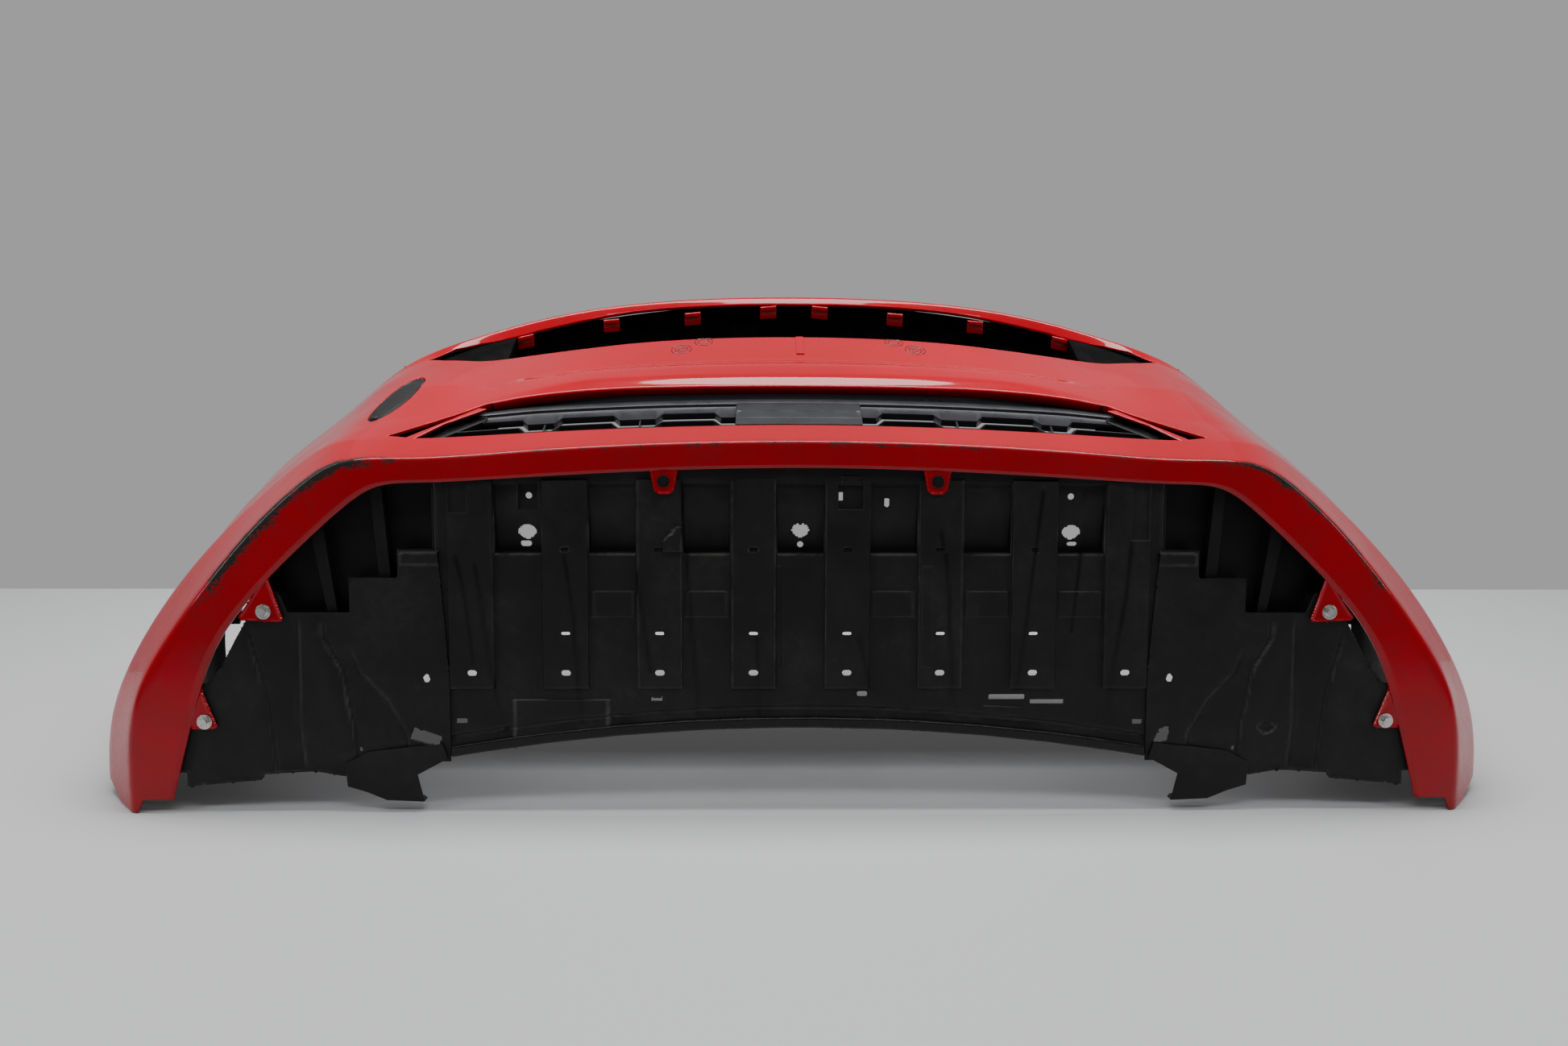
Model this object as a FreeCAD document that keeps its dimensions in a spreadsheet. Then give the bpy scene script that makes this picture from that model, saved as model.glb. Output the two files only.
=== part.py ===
"""Front bumper cover of a small car, with its lower grille, undertray and fixings.

The cover stands on its wheel-arch ends with the nose up. In the row frame +Z is
the car's forward direction, +Y is the car's up direction and +X is the car's
left side. Z = 0 is the surface it stands on. Lengths are millimetres.

Three working frames are used:
  car frame   x across, y from the underside towards the bonnet, z forward
  tray frame  the car frame leaned back about X, so that the underside is flat in it
  row frame   the car frame moved back by half the depth
"""
import FreeCAD, Part
import math
import os
from FreeCAD import Placement, Rotation, Vector

DIMENSIONS = {
    # whole cover
    "half_depth": 248.5,
    "lean_angle": 7.0,
    "skin_wall": 3.0,
    "arch_radius": 350.0,
    "arch_centre_depth": 215.0,
    "arch_centre_drop": 298.0,
    # undertray sheets, measured from the front face of the lip flange
    "tray_wall": 2.5,
    "tray_face": 7.5,
    "rib_rise": 4.0,
    "side_face": 5.0,
    "rib_pitch": 112.5,
    "recess_depth": 14.0,
    "duct_depth": 25.5,
    "recess_width": 57.0,
    "recess_low": 314.0,
    "recess_top": 396.0,
    "lower_row": 170.0,
    "upper_row": 218.0,
    "row_hole": 4.0,
    # lower grille
    "grille_tilt": 19.0,
    "grille_low_depth": 105.0,
    "grille_low_rise": 445.0,
    "grille_drop": 18.0,
    "grille_drop_at": 440.0,
    "grille_height": 100.0,
    "slat_width": 2.6,
    "slat_depth": 16.0,
    # fixings
    "bolt_shank": 3.0,
    "bolt_hole": 3.4,
    "bolt_flange": 7.5,
    "bolt_hex": 5.0,
    "washer_outer": 9.0,
    "washer_wall": 1.2,
    "tab_hole": 4.2,
    "retainer_head": 7.5,
    "retainer_shank": 4.0,
    "pin_bore": 2.45,
    "pin_shank": 2.4,
    "pin_head": 3.2,
    # tow eye cover
    "tow_half_length": 73.0,
    "tow_half_width": 23.5,
    "tow_gap": 0.8,
    # outside fixings
    "upper_hole": 4.0,
    "upper_hole_spread": 150.0,
    "fender_hole": 3.5,
    "rear_screw_hole": 2.75,
}

# Feature lines of the painted skin on the car's left half, from the centre of
# the nose (first station) to the end of the wheel arch (last station).
# The first two lines lie in the leaned underside plane, so they give x and z only.
UNDERSIDE_LINES = {
    "flange_edge": [(0, 414), (305, 403.5), (440, 396), (503, 390), (540, 367),
                    (592, 321), (683, 221), (722, 130), (757, 0)],
    "lip_edge": [(0, 445), (310, 434), (455, 424), (545, 418.5), (592, 392),
                 (650, 339.5), (752, 213), (797, 120), (802, 0)],
}
UPPER_LINES = {
    "lip_crest": [(0, 101, 459), (312, 100, 449), (458, 100, 441), (553, 112, 437), (604, 132, 418),
                  (668, 140, 370), (783, 120, 250), (855, 90, 120), (862, 62, 0)],
    "lip_root": [(0, 200, 497), (300, 198, 489), (425, 178, 468), (540, 165, 452), (600, 178, 428),
                 (662, 185, 382), (781, 170, 262), (856, 155, 125), (864, 140, 0)],
    "belt": [(0, 280, 525), (310, 280, 508), (445, 268, 492), (534, 260, 481), (617, 255, 433),
             (692, 255, 378), (800, 250, 265), (864, 245, 125), (870, 240, 0)],
    "slot_low": [(0, 360, 554), (310, 364, 535), (450, 375, 516), (562, 345, 492), (632, 335, 440),
                 (712, 330, 378), (814, 325, 262), (868, 320, 125), (872, 318, 0)],
    "slot_high": [(0, 440, 594), (300, 440, 568), (462, 436, 532), (568, 400, 500), (646, 390, 441),
                  (728, 380, 377), (824, 372, 260), (870, 366, 125), (870, 362, 0)],
    "top_edge": [(0, 452, 607), (305, 452, 587), (468, 450, 548), (574, 418, 503), (650, 404, 440),
                 (734, 392, 374), (828, 384, 258), (868, 378, 125), (866, 374, 0)],
    "rear_edge": [(0, 497, 604), (305, 494, 583), (462, 474, 543), (562, 430, 489), (636, 414, 428),
                  (720, 402, 362), (813, 392, 250), (852, 386, 122), (850, 382, 0)],
}

doc = FreeCAD.newDocument("bumper_cover")
sheet = doc.addObject("Spreadsheet::Sheet", "Params")
for row, (alias, value) in enumerate(DIMENSIONS.items(), start=1):
    sheet.set(f"A{row}", alias)
    sheet.set(f"B{row}", str(value))
    sheet.setAlias(f"B{row}", alias)
doc.recompute()


def size(alias):
    """Value of one driving dimension, read from the sheet."""
    return float(sheet.get(alias))


SUB_PARTS = []


def keep(obj, label, leaned=False):
    """Name a finished sub-part and bind its place to the sheet."""
    obj.Label = label
    if leaned:
        obj.Placement = Placement(Vector(0, 0, 0), Rotation(Vector(1, 0, 0), -size("lean_angle")))
        obj.setExpression("Placement.Rotation.Angle", "Params.lean_angle")
        obj.setExpression("Placement.Rotation.Axis.x", "-1")
    obj.setExpression("Placement.Base.y", f"{obj.Placement.Base.y} - Params.half_depth")
    SUB_PARTS.append(obj)
    return obj


def leaned_tool(obj):
    """Place a building solid from the tray frame in the car frame."""
    obj.Placement = Placement(Vector(0, 0, 0), Rotation(Vector(1, 0, 0), -size("lean_angle")))
    return obj


def from_tray(x, depth, rise):
    """Car-frame point of a tray-frame point."""
    return Rotation(Vector(1, 0, 0), -size("lean_angle")).multVec(Vector(x, depth, rise))


def mirrored(points, side):
    """Outline on one side of the car: side is 1 for left and -1 for right."""
    return [(side * x, z) for x, z in points]


# ---------------------------------------------------------------- sketch helpers
def add_outline(sketch, points):
    """Closed straight-sided outline."""
    corners = [Vector(x, z, 0) for x, z in points]
    for start, end in zip(corners, corners[1:] + corners[:1]):
        sketch.addGeometry(Part.LineSegment(start, end), False)


def add_circle(sketch, x, z, radius):
    sketch.addGeometry(Part.Circle(Vector(x, z, 0), Vector(0, 0, 1), radius), False)


def add_slot(sketch, x, z, length, height):
    """Slot with round ends, along x."""
    r = height / 2
    run = length / 2 - r
    quarter = math.pi / 2
    normal = Vector(0, 0, 1)
    sketch.addGeometry(Part.LineSegment(Vector(x - run, z + r, 0), Vector(x + run, z + r, 0)), False)
    sketch.addGeometry(Part.LineSegment(Vector(x - run, z - r, 0), Vector(x + run, z - r, 0)), False)
    sketch.addGeometry(Part.ArcOfCircle(Part.Circle(Vector(x + run, z, 0), normal, r), -quarter, quarter), False)
    sketch.addGeometry(Part.ArcOfCircle(Part.Circle(Vector(x - run, z, 0), normal, r), quarter, 3 * quarter), False)


def rectangle(x0, z0, x1, z1):
    return [(x0, z0), (x1, z0), (x1, z1), (x0, z1)]


def front_sketch(body, name, depth):
    """Sketch on the body's XZ plane, moved back by depth; its own x and y are x and z."""
    plane = [f for f in body.Origin.OriginFeatures if f.Role == "XZ_Plane"][0]
    sketch = body.newObject("Sketcher::SketchObject", name)
    sketch.AttachmentSupport = [(plane, "")]
    sketch.MapMode = "FlatFace"
    sketch.AttachmentOffset = Placement(Vector(0, 0, -depth), Rotation())
    return sketch


def pad_back(body, name, depth, draw, length):
    """Pad away from the viewer of the underside; length is an expression or a number."""
    sketch = front_sketch(body, name + "Sketch", depth)
    draw(sketch)
    pad = body.newObject("PartDesign::Pad", name)
    pad.Profile = sketch
    pad.Reversed = True
    set_length(pad, length)
    body.Tip = pad
    doc.recompute()
    return pad


def cut_back(body, name, depth, draw, length):
    """Pocket from depth away from the viewer of the underside."""
    sketch = front_sketch(body, name + "Sketch", depth)
    draw(sketch)
    before = body.Shape.Volume
    pocket = body.newObject("PartDesign::Pocket", name)
    pocket.Profile = sketch
    set_length(pocket, length)
    body.Tip = pocket
    doc.recompute()
    assert body.Shape.Volume < before, name + " cut nothing"
    return pocket


def set_length(feature, length):
    if isinstance(length, str):
        feature.setExpression("Length", length)
    else:
        feature.Length = length


def new_body(name):
    return doc.addObject("PartDesign::Body", name)


def feature(name, shape):
    """Free-form solid that neither sketches nor primitives describe."""
    obj = doc.addObject("Part::Feature", name)
    obj.Shape = shape
    return obj


def plate(name, points, depth, length):
    """Single-outline plate in the tray frame, as a body of its own."""
    body = new_body(name)
    pad_back(body, name + "Pad", depth, lambda s: add_outline(s, points), length)
    return body


# ---------------------------------------------------------------- painted skin
def skin_grid():
    """Feature lines over all stations, right side mirrored, as lists of points."""
    slope = math.tan(math.radians(size("lean_angle")))
    lines = [[(x, z * slope, z) for x, z in line] for line in UNDERSIDE_LINES.values()]
    lines += list(UPPER_LINES.values())
    return [[Vector(-x, y, z) for x, y, z in line[:0:-1]] + [Vector(*p) for p in line] for line in lines]


def strip_normal(grid, j, i):
    """Outward normal of the strip between feature lines j and j + 1 at station i."""
    last = len(grid[0]) - 1
    along = grid[j][min(i + 1, last)] - grid[j][max(i - 1, 0)]
    across = grid[j + 1][i] - grid[j][i]
    normal = along.cross(across)
    if i in (0, last):
        normal.z = 0
    return normal.normalize()


def inner_grid(grid, wall):
    """Feature lines moved inwards by the wall, mitred where two strips meet."""
    lines = len(grid)
    stations = len(grid[0])
    inner = []
    for j in range(lines):
        row = []
        for i in range(stations):
            first = strip_normal(grid, max(j - 1, 0), i)
            second = strip_normal(grid, min(j, lines - 2), i)
            middle = (first + second).normalize()
            row.append(grid[j][i] - middle * (wall / max(middle.dot(first), 0.6)))
        inner.append(row)
    return inner


def station_curve(points, parameters):
    curve = Part.BSplineCurve()
    curve.interpolate(Points=points, Parameters=parameters)
    return curve.toShape()


def skin_shell():
    """Closed shell of the skin: outer strips, inner strips, two edges and two end caps."""
    grid = skin_grid()
    inner = inner_grid(grid, size("skin_wall"))
    lip = grid[1]
    parameters = [0.0]
    for start, end in zip(lip, lip[1:]):
        parameters.append(parameters[-1] + math.sqrt((end - start).Length))
    ring = grid + inner[::-1]
    curves = [station_curve(line, parameters) for line in ring]
    faces = [Part.makeRuledSurface(a, b) for a, b in zip(curves, curves[1:] + curves[:1])]
    for end in (0, -1):
        corners = [line[end] for line in ring]
        faces.append(Part.Face(Part.makePolygon(corners + corners[:1])))
    shell = Part.Shell(faces)
    shell.sewShape()
    solid = Part.Solid(shell)
    if solid.Volume < 0:
        solid.reverse()
    return solid


def prism(name, outline, low, high):
    """Upright cutter: an outline in x and y, carried from low to high along z."""
    corners = [Vector(x, y, low) for x, y in outline]
    wire = Part.makePolygon(corners + corners[:1])
    return feature(name, Part.Face(wire).extrude(Vector(0, 0, high - low)))


def both_sides(half):
    """Symmetric outline from its left half, listed from the lower centre to the upper centre."""
    return half + [(-x, y) for x, y in half[::-1] if x != 0]


SLOT_HALF = [(0, 361), (310, 365), (450, 377), (505, 392), (532, 408), (500, 428), (462, 436), (300, 440), (0, 440)]
OPENING_HALF = [(0, 103), (470, 103), (506, 112), (455, 150), (402, 190), (365, 195), (219, 199), (0, 199)]


def skin_tabs():
    """Flat tabs of the flange: two at the centre and two three-cornered ones on each arm."""
    centre = [(144, 422), (182, 422), (174, 388), (170, 384), (154, 384), (150, 388)]
    upper = [(634, 288), (619, 234), (668, 236)]
    lower = [(716, 150), (700, 103), (730, 103)]
    tabs = []
    for side in (1, -1):
        for name, outline in (("CentreTab", centre), ("UpperTab", upper), ("LowerTab", lower)):
            suffix = "Left" if side > 0 else "Right"
            tabs.append(leaned_tool(plate(name + suffix, mirrored(outline, side), 0, "Params.skin_wall")))
    return tabs


BOLT_PLACES = [(638, 245), (712, 112)]
RETAINER_PLACE = (163, 401)


def leaned_cylinder(name, x, rise, depth, length, radius_expression):
    """Cylinder across the underside plane, starting at a depth in the tray frame."""
    cylinder = doc.addObject("Part::Cylinder", name)
    cylinder.setExpression("Radius", radius_expression)
    cylinder.Height = length
    turn = Rotation(Vector(1, 0, 0), -90 - size("lean_angle"))
    cylinder.Placement = Placement(from_tray(x, depth, rise), turn)
    return cylinder


def bolt_holes():
    holes = []
    for side in (1, -1):
        for number, (x, rise) in enumerate(BOLT_PLACES):
            holes.append(leaned_cylinder(f"BoltHole{number}{side + 1}", side * x, rise, -5, 12, "Params.bolt_hole"))
        x, rise = RETAINER_PLACE
        holes.append(leaned_cylinder(f"TabHole{side + 1}", side * x, rise, -5, 12, "Params.tab_hole"))
    return holes


def arch_cutter():
    """Wheel-arch circle of both sides, as one long cylinder across the car."""
    cutter = doc.addObject("Part::Cylinder", "WheelArch")
    cutter.setExpression("Radius", "Params.arch_radius")
    cutter.Height = 2000
    centre = Vector(-1000, size("arch_centre_depth"), -size("arch_centre_drop"))
    cutter.Placement = Placement(centre, Rotation(Vector(0, 1, 0), 90))
    return cutter


def tip_notches():
    """Small step at the inner corner of each arch end."""
    notches = []
    for side in (1, -1):
        notch = doc.addObject("Part::Box", f"TipNotch{side + 1}")
        notch.Length = 45
        notch.Width = 40
        notch.Height = 26
        notch.Placement.Base = Vector(748 if side > 0 else -793, -20, -10)
        notches.append(notch)
    return notches


def grille_hooks():
    """Hooks behind the upper lip of the slot, that held the upper grille."""
    hooks = []
    for x in (-397, -270, -150, -38, 38, 150, 270, 397):
        lip_rise = 594 - 26 * (x / 300) ** 2
        hook = doc.addObject("Part::Box", f"GrilleHook{len(hooks)}")
        hook.Length = 20
        hook.Width = 8
        hook.Height = 15
        hook.Placement.Base = Vector(x - 10, 446, lip_rise - 9)
        hooks.append(hook)
    return hooks


def upper_lugs():
    """Flat lugs behind the top edge with the holes of the upper fixings."""
    lugs = []
    for side in (1, -1):
        x = side * size("upper_hole_spread")
        lug = doc.addObject("Part::Box", f"UpperLug{side + 1}")
        lug.Length = 44
        lug.Width = 3
        lug.Height = 40
        lug.Placement.Base = Vector(x - 22, 494, 559)
        hole = doc.addObject("Part::Cylinder", f"UpperLugHole{side + 1}")
        hole.setExpression("Radius", "Params.upper_hole")
        hole.Height = 12
        hole.Placement = Placement(Vector(x, 490, 574), Rotation(Vector(1, 0, 0), -90))
        drilled = doc.addObject("Part::Cut", f"DrilledLug{side + 1}")
        drilled.Base = lug
        drilled.Tool = hole
        lugs.append(drilled)
    return lugs


# Place of the tow eye cover on the right cheek of the skin, in the car frame.
TOW_CENTRE = Vector(-530, 241, 476)
TOW_NORMAL = Vector(-0.25, -0.28, 0.93)
TOW_LONG_AXIS = Vector(0.17, 0.94, 0.29)


def tow_frame():
    """Placement with local x along the oval, local y across it and local z out of the cheek."""
    return Placement(TOW_CENTRE, Rotation(TOW_LONG_AXIS, Vector(), TOW_NORMAL, "ZXY"))


def tow_oval(name, inset, low, height):
    """Oval column across the cheek; inset shrinks the outline of the cap."""
    frame = tow_frame()
    outline = doc.addObject("Part::Ellipse", name + "Outline")
    outline.setExpression("MajorRadius", f"Params.tow_half_length - {inset}")
    outline.setExpression("MinorRadius", f"Params.tow_half_width - {inset}")
    outline.Placement = Placement(frame.multVec(Vector(0, 0, low)), frame.Rotation)
    column = doc.addObject("Part::Extrusion", name)
    column.Base = outline
    column.Dir = frame.Rotation.multVec(Vector(0, 0, 1))
    column.DirMode = "Custom"
    column.LengthFwd = height
    column.Solid = True
    return column


def chained(kind, name, base, tools):
    """One boolean after another, which holds where one boolean of them all fails."""
    for tool in tools:
        step = doc.addObject(kind, name + tool.Name)
        step.Base = base
        step.Tool = tool
        step.Refine = False
        base = step
    return base


def bumper_skin(shell):
    body = chained("Part::Fuse", "SkinWith", shell, skin_tabs() + grille_hooks() + upper_lugs())
    tow_hole = tow_oval("TowEyeHole", -size("tow_gap"), -30, 60)
    tools = [
        prism("SlotCutter", both_sides(SLOT_HALF), 470, 640),
        prism("OpeningCutter", both_sides(OPENING_HALF), 400, 560),
        arch_cutter(), tow_hole,
    ] + tip_notches() + bolt_holes()
    return keep(chained("Part::Cut", "SkinLess", body, tools), "bumper_skin")


# ---------------------------------------------------------------- lower grille
def grille_point(x, up, out):
    """Car-frame point of the curved grille face: up is along the face, out is in front of it."""
    tilt = math.radians(size("grille_tilt"))
    drop = size("grille_drop") * (x / size("grille_drop_at")) ** 2
    y = size("grille_low_depth") + up * math.cos(tilt) - out * math.sin(tilt)
    z = size("grille_low_rise") - drop + up * math.sin(tilt) + out * math.cos(tilt)
    return Vector(x, y, z)


def polyhedron(rings, closed=False):
    """Solid whose cross-sections are rings of points, triangulated between them."""
    count = len(rings[0])
    faces = []

    def triangle(a, b, c):
        faces.append(Part.Face(Part.makePolygon([a, b, c, a])))

    pairs = list(zip(rings, rings[1:]))
    if closed:
        pairs.append((rings[-1], rings[0]))
    for first, second in pairs:
        for k in range(count):
            n = (k + 1) % count
            triangle(first[k], first[n], second[n])
            triangle(first[k], second[n], second[k])
    if not closed:
        for ring in (rings[0], rings[-1]):
            for k in range(1, count - 1):
                triangle(ring[0], ring[k], ring[k + 1])
    shell = Part.Shell(faces)
    shell.sewShape()
    solid = Part.Solid(shell)
    if solid.Volume < 0:
        solid.reverse()
    return solid


def grille_bar(path, width, depth, front=0.0):
    """Bar along a path of (x, up) points on the grille face; width is measured along up."""
    rings = []
    for x, up in path:
        low = up - width / 2
        high = up + width / 2
        rings.append([grille_point(x, low, front), grille_point(x, high, front),
                      grille_point(x, high, front - depth), grille_point(x, low, front - depth)])
    return polyhedron(rings)


# Top border of the grille, a channel around the blade that reaches forward to the
# skin.  Its front line follows the skin at the stations below.
BORDER_FRONT = [14.0, 14.0, 14.0, 14.0, 14.0, 10.0, 6.0]
BLADE_LOW = 97.0
BLADE_HIGH = 112.0
BLADE_WALL = 3.0
BORDER_HIGH = 120.0
BORDER_BACK = -16.0


def grille_stations():
    """x of the stations that every curved bar of the grille shares."""
    count = len(BORDER_FRONT) - 1
    return [GRILLE_END * k / count for k in range(-count, count + 1)]


def border_bar(low, high, front, back):
    """Strip of the top border between two heights; front None follows the skin."""
    rings = []
    for x, skin_front in zip(grille_stations(), BORDER_FRONT[:0:-1] + BORDER_FRONT):
        near = skin_front if front is None else front
        rings.append([grille_point(x, low, near), grille_point(x, high, near),
                      grille_point(x, high, back), grille_point(x, low, back)])
    return polyhedron(rings)


def stepped_path(low, high, start, steps):
    """Slat path that climbs to a raised stretch and drops again; steps holds x of each level change."""
    path = [(start, low)]
    level = low
    ramp = 9.0
    for x in steps:
        path.append((x, level))
        level = high if level == low else low
        path.append((x + ramp, level))
    return path


# x of the left half's level changes, from the centre panel outwards
SLAT_STEPS = [98, 172, 226, 300, 342]
PANEL_HALF = 78.0
GRILLE_END = 412.0
SLAT_LEVELS = [(55.0, 69.0), (31.0, 45.0)]


def lower_grille():
    """Black grille: closed border, stepped slats and short uprights on each half."""
    low_edge = 2.0
    border = 8.0
    depth = size("slat_depth")
    height = size("grille_height")
    xs = grille_stations()
    bars = [
        grille_bar([(x, low_edge) for x in xs], border, depth),
        grille_bar([(x, height - 12 * abs(x / GRILLE_END) ** 4) for x in xs], border, depth),
    ]
    bars += [
        border_bar(BLADE_LOW + 7, BORDER_HIGH, None, BLADE_WALL),
        border_bar(BLADE_HIGH, BORDER_HIGH, None, BORDER_BACK),
        border_bar(BLADE_LOW + 3, BORDER_HIGH, 0, BORDER_BACK),
    ]
    for side in (1, -1):
        corner = [(side * (GRILLE_END - 14), 86.0), (side * (GRILLE_END + 28), 46.0), (side * (GRILLE_END + 66), 2.0)]
        bars.append(grille_bar(corner, 22.0, 8.0))
        bars.append(grille_bar([(side * (GRILLE_END - 8), low_edge), (side * (GRILLE_END + 66), low_edge)], border, 8.0))
        for low, high in SLAT_LEVELS:
            path = stepped_path(low, high, PANEL_HALF - 4, SLAT_STEPS)
            path.append((GRILLE_END + 20, path[-1][1]))
            bars.append(grille_bar([(side * x, up) for x, up in path], size("slat_width"), depth))
        for x in (78, 200, 320):
            upright = [(side * (x - 1.3), 50.0), (side * (x + 1.3), 50.0)]
            bars.append(grille_bar(upright, height - 4, depth - 4, -1.0))
    grille = doc.addObject("Part::MultiFuse", "LowerGrille")
    grille.Shapes = [feature(f"GrilleBar{n}", bar) for n, bar in enumerate(bars)]
    return keep(grille, "lower_grille")


def grille_plate(name, label, xs, low, high, front, wall):
    """Curved cover plate on the grille face between two heights."""
    middle = (low + high) / 2
    shape = grille_bar([(x, middle) for x in xs], high - low, wall, front)
    return keep(feature(name, shape), label)


def corner_trim(side, label):
    """Body-colour strip between the grille corner and the groove of the skin."""
    outline = [(398, 84), (444, 48), (478, 6), (500, 4), (474, 28), (409, 88)]
    lower_run = [(x, up) for x, up in outline[:3]]
    upper_run = [(x, up) for x, up in outline[:2:-1]]
    rings = []
    for (xa, ua), (xb, ub) in zip(lower_run, upper_run):
        rings.append([grille_point(side * xa, ua, 9), grille_point(side * xb, ub, 9),
                      grille_point(side * xb, ub, 12), grille_point(side * xa, ua, 12)])
    return keep(feature("CornerTrim" + label, polyhedron(rings)), "corner_trim_" + label)


# ---------------------------------------------------------------- upper carrier
def add_bow(sketch, half_span, end_rise, middle_rise, half_span_top, end_top, middle_top):
    """Band between two arcs that bow upwards, closed by straight ends."""
    low = Part.Arc(Vector(-half_span, end_rise, 0), Vector(0, middle_rise, 0), Vector(half_span, end_rise, 0))
    high = Part.Arc(Vector(-half_span_top, end_top, 0), Vector(0, middle_top, 0), Vector(half_span_top, end_top, 0))
    sketch.addGeometry(low, False)
    sketch.addGeometry(high, False)
    for side in (1, -1):
        ends = Vector(side * half_span, end_rise, 0), Vector(side * half_span_top, end_top, 0)
        sketch.addGeometry(Part.LineSegment(*ends), False)


def upper_carrier():
    """Black channel behind the slot: a bowed shelf and the web that closes it."""
    body = new_body("UpperCarrier")
    pad_back(body, "Shelf", 366, lambda s: add_bow(s, 480, 502, 538, 480, 505, 541), 103)
    pad_back(body, "Web", 466, lambda s: add_bow(s, 440, 508, 538, 440, 541, 596), "Params.tray_wall + 0.5")
    for side in (1, -1):
        end_plate = mirrored([(436, 480), (436, 532), (480, 520), (528, 502), (528, 470)], side)
        pad_back(body, f"EndPlate{side + 1}", 424, lambda s: add_outline(s, end_plate), "Params.tray_wall + 0.5")
    return keep(body, "upper_carrier")


# Outer edge of the side rail, which lies against the inner face of the arm.
RAIL_EDGE = [(740, 360), (766, 335), (790, 307), (808.5, 280), (823.2, 254), (838.7, 220), (849.6, 190),
             (858.5, 158), (864.7, 126)]
RAIL_WIDTH = 40
FENDER_HOLES = [(763, 302), (827, 172)]


def side_retainer(side, label):
    """Black rail under the fender flange, with the two holes of the fender fixings."""
    body = new_body("SideRetainer" + label)
    outline = RAIL_EDGE + [(x - RAIL_WIDTH, z) for x, z in RAIL_EDGE[::-1]]
    pad_back(body, "Rail" + label, 371, lambda s: add_outline(s, mirrored(outline, side)), 5)

    def holes(sketch):
        for x, z in FENDER_HOLES:
            add_circle(sketch, side * x, z, size("fender_hole"))

    cut_back(body, "RailHoles" + label, 365, holes, 20)
    return keep(body, "side_retainer_" + label)


# ---------------------------------------------------------------- undertray
ARC_HALF = 427.0
ARC_END = 66.0
ARC_MIDDLE = 103.0


def add_tray_sheet(sketch):
    """Centre sheet: arched rear edge, near-upright sides and a bowed front edge."""
    front = [(435, 406), (312, 414), (185, 421), (0, 425), (-185, 421), (-312, 414), (-435, 406)]
    run = [(ARC_HALF, ARC_END), (428, 170), (435, 314)] + front + [(-435, 314), (-428, 170), (-ARC_HALF, ARC_END)]
    for (xa, za), (xb, zb) in zip(run, run[1:]):
        sketch.addGeometry(Part.LineSegment(Vector(xa, za, 0), Vector(xb, zb, 0)), False)
    arc = Part.Arc(Vector(-ARC_HALF, ARC_END, 0), Vector(0, ARC_MIDDLE, 0), Vector(ARC_HALF, ARC_END, 0))
    sketch.addGeometry(arc, False)


def rib_centres():
    pitch = size("rib_pitch")
    return [(k + 0.5) * pitch for k in range(-4, 4)]


def recess_centres():
    pitch = size("rib_pitch")
    return [k * pitch for k in range(-3, 4)]


def draw_ribs(sketch):
    half = (size("rib_pitch") - size("recess_width")) / 2 - 1
    for x in rib_centres():
        outer = half if abs(x) < 350 else half - 8
        add_outline(sketch, rectangle(x - outer, 150, x + outer, 402))


def draw_recess_boxes(sketch):
    half = size("recess_width") / 2 + size("tray_wall")
    low = size("recess_low") - size("tray_wall")
    for x in recess_centres():
        add_outline(sketch, rectangle(x - half, low, x + half, size("recess_top") + size("tray_wall")))


def draw_recesses(sketch):
    half = size("recess_width") / 2
    for x in recess_centres():
        add_outline(sketch, rectangle(x - half, size("recess_low"), x + half, size("recess_top")))


def hexagon(x, z, radius):
    angles = [math.radians(60 * k) for k in range(6)]
    return [(x + radius * math.cos(a), z + radius * 0.9 * math.sin(a)) for a in angles]


def draw_tray_holes(sketch):
    """Drain, tool and clip holes of the centre sheet."""
    for x in rib_centres():
        add_circle(sketch, x, size("lower_row"), size("row_hole"))
        if abs(x) < 350:
            add_circle(sketch, x, size("upper_row"), size("row_hole"))
    for x, z in ((0, 341), (-328, 339), (328, 339)):
        add_outline(sketch, hexagon(x, z, 11))
    add_circle(sketch, 0, 324, 4)
    for side in (1, -1):
        add_slot(sketch, side * 330, 325, 14, 7)
        add_circle(sketch, side * 325, 383, 4)
        add_circle(sketch, side * RETAINER_PLACE[0], RETAINER_PLACE[1], size("tab_hole"))
    for x, z, length, height in ((-173, 138, 13, 6), (75, 144, 13, 6), (-408, 111, 12, 6), (411, 109, 12, 6),
                                 (251, 140, 42, 6), (300, 134, 40, 6), (48, 381, 11, 5), (103, 371, 11, 5)):
        add_slot(sketch, x, z, length, height)


def undertray_centre():
    body = new_body("UndertrayCentre")
    wall = "Params.tray_wall"
    pad_back(body, "CentreSheet", size("tray_face"), add_tray_sheet, wall)
    pad_back(body, "Ribs", size("tray_face") - size("rib_rise"), draw_ribs, "Params.rib_rise")
    pad_back(body, "StiffPad", size("tray_face") - 2, lambda s: add_outline(s, rectangle(-347, 108, -228, 138)), 2)
    pad_back(body, "RecessBoxes", size("tray_face"), draw_recess_boxes, "Params.recess_depth + Params.tray_wall")
    cut_back(body, "Recesses", 0, draw_recesses, "Params.tray_face + Params.recess_depth")
    cut_back(body, "TrayHoles", -5, draw_tray_holes, 60)
    return keep(body, "undertray_centre", leaned=True)


SIDE_OUTLINE = [(421, 62), (421, 170), (433, 319), (480, 319), (480, 285), (538, 285), (538, 243), (612, 243),
                (622, 268), (650, 268), (660, 236), (692, 178), (708, 158), (727, 155), (727, 140), (742, 102),
                (757, 92), (759, 49), (737, 49), (737, 32), (650, 39.5), (644, 47), (583, 50), (548, 44),
                (530, 62)]


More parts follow.
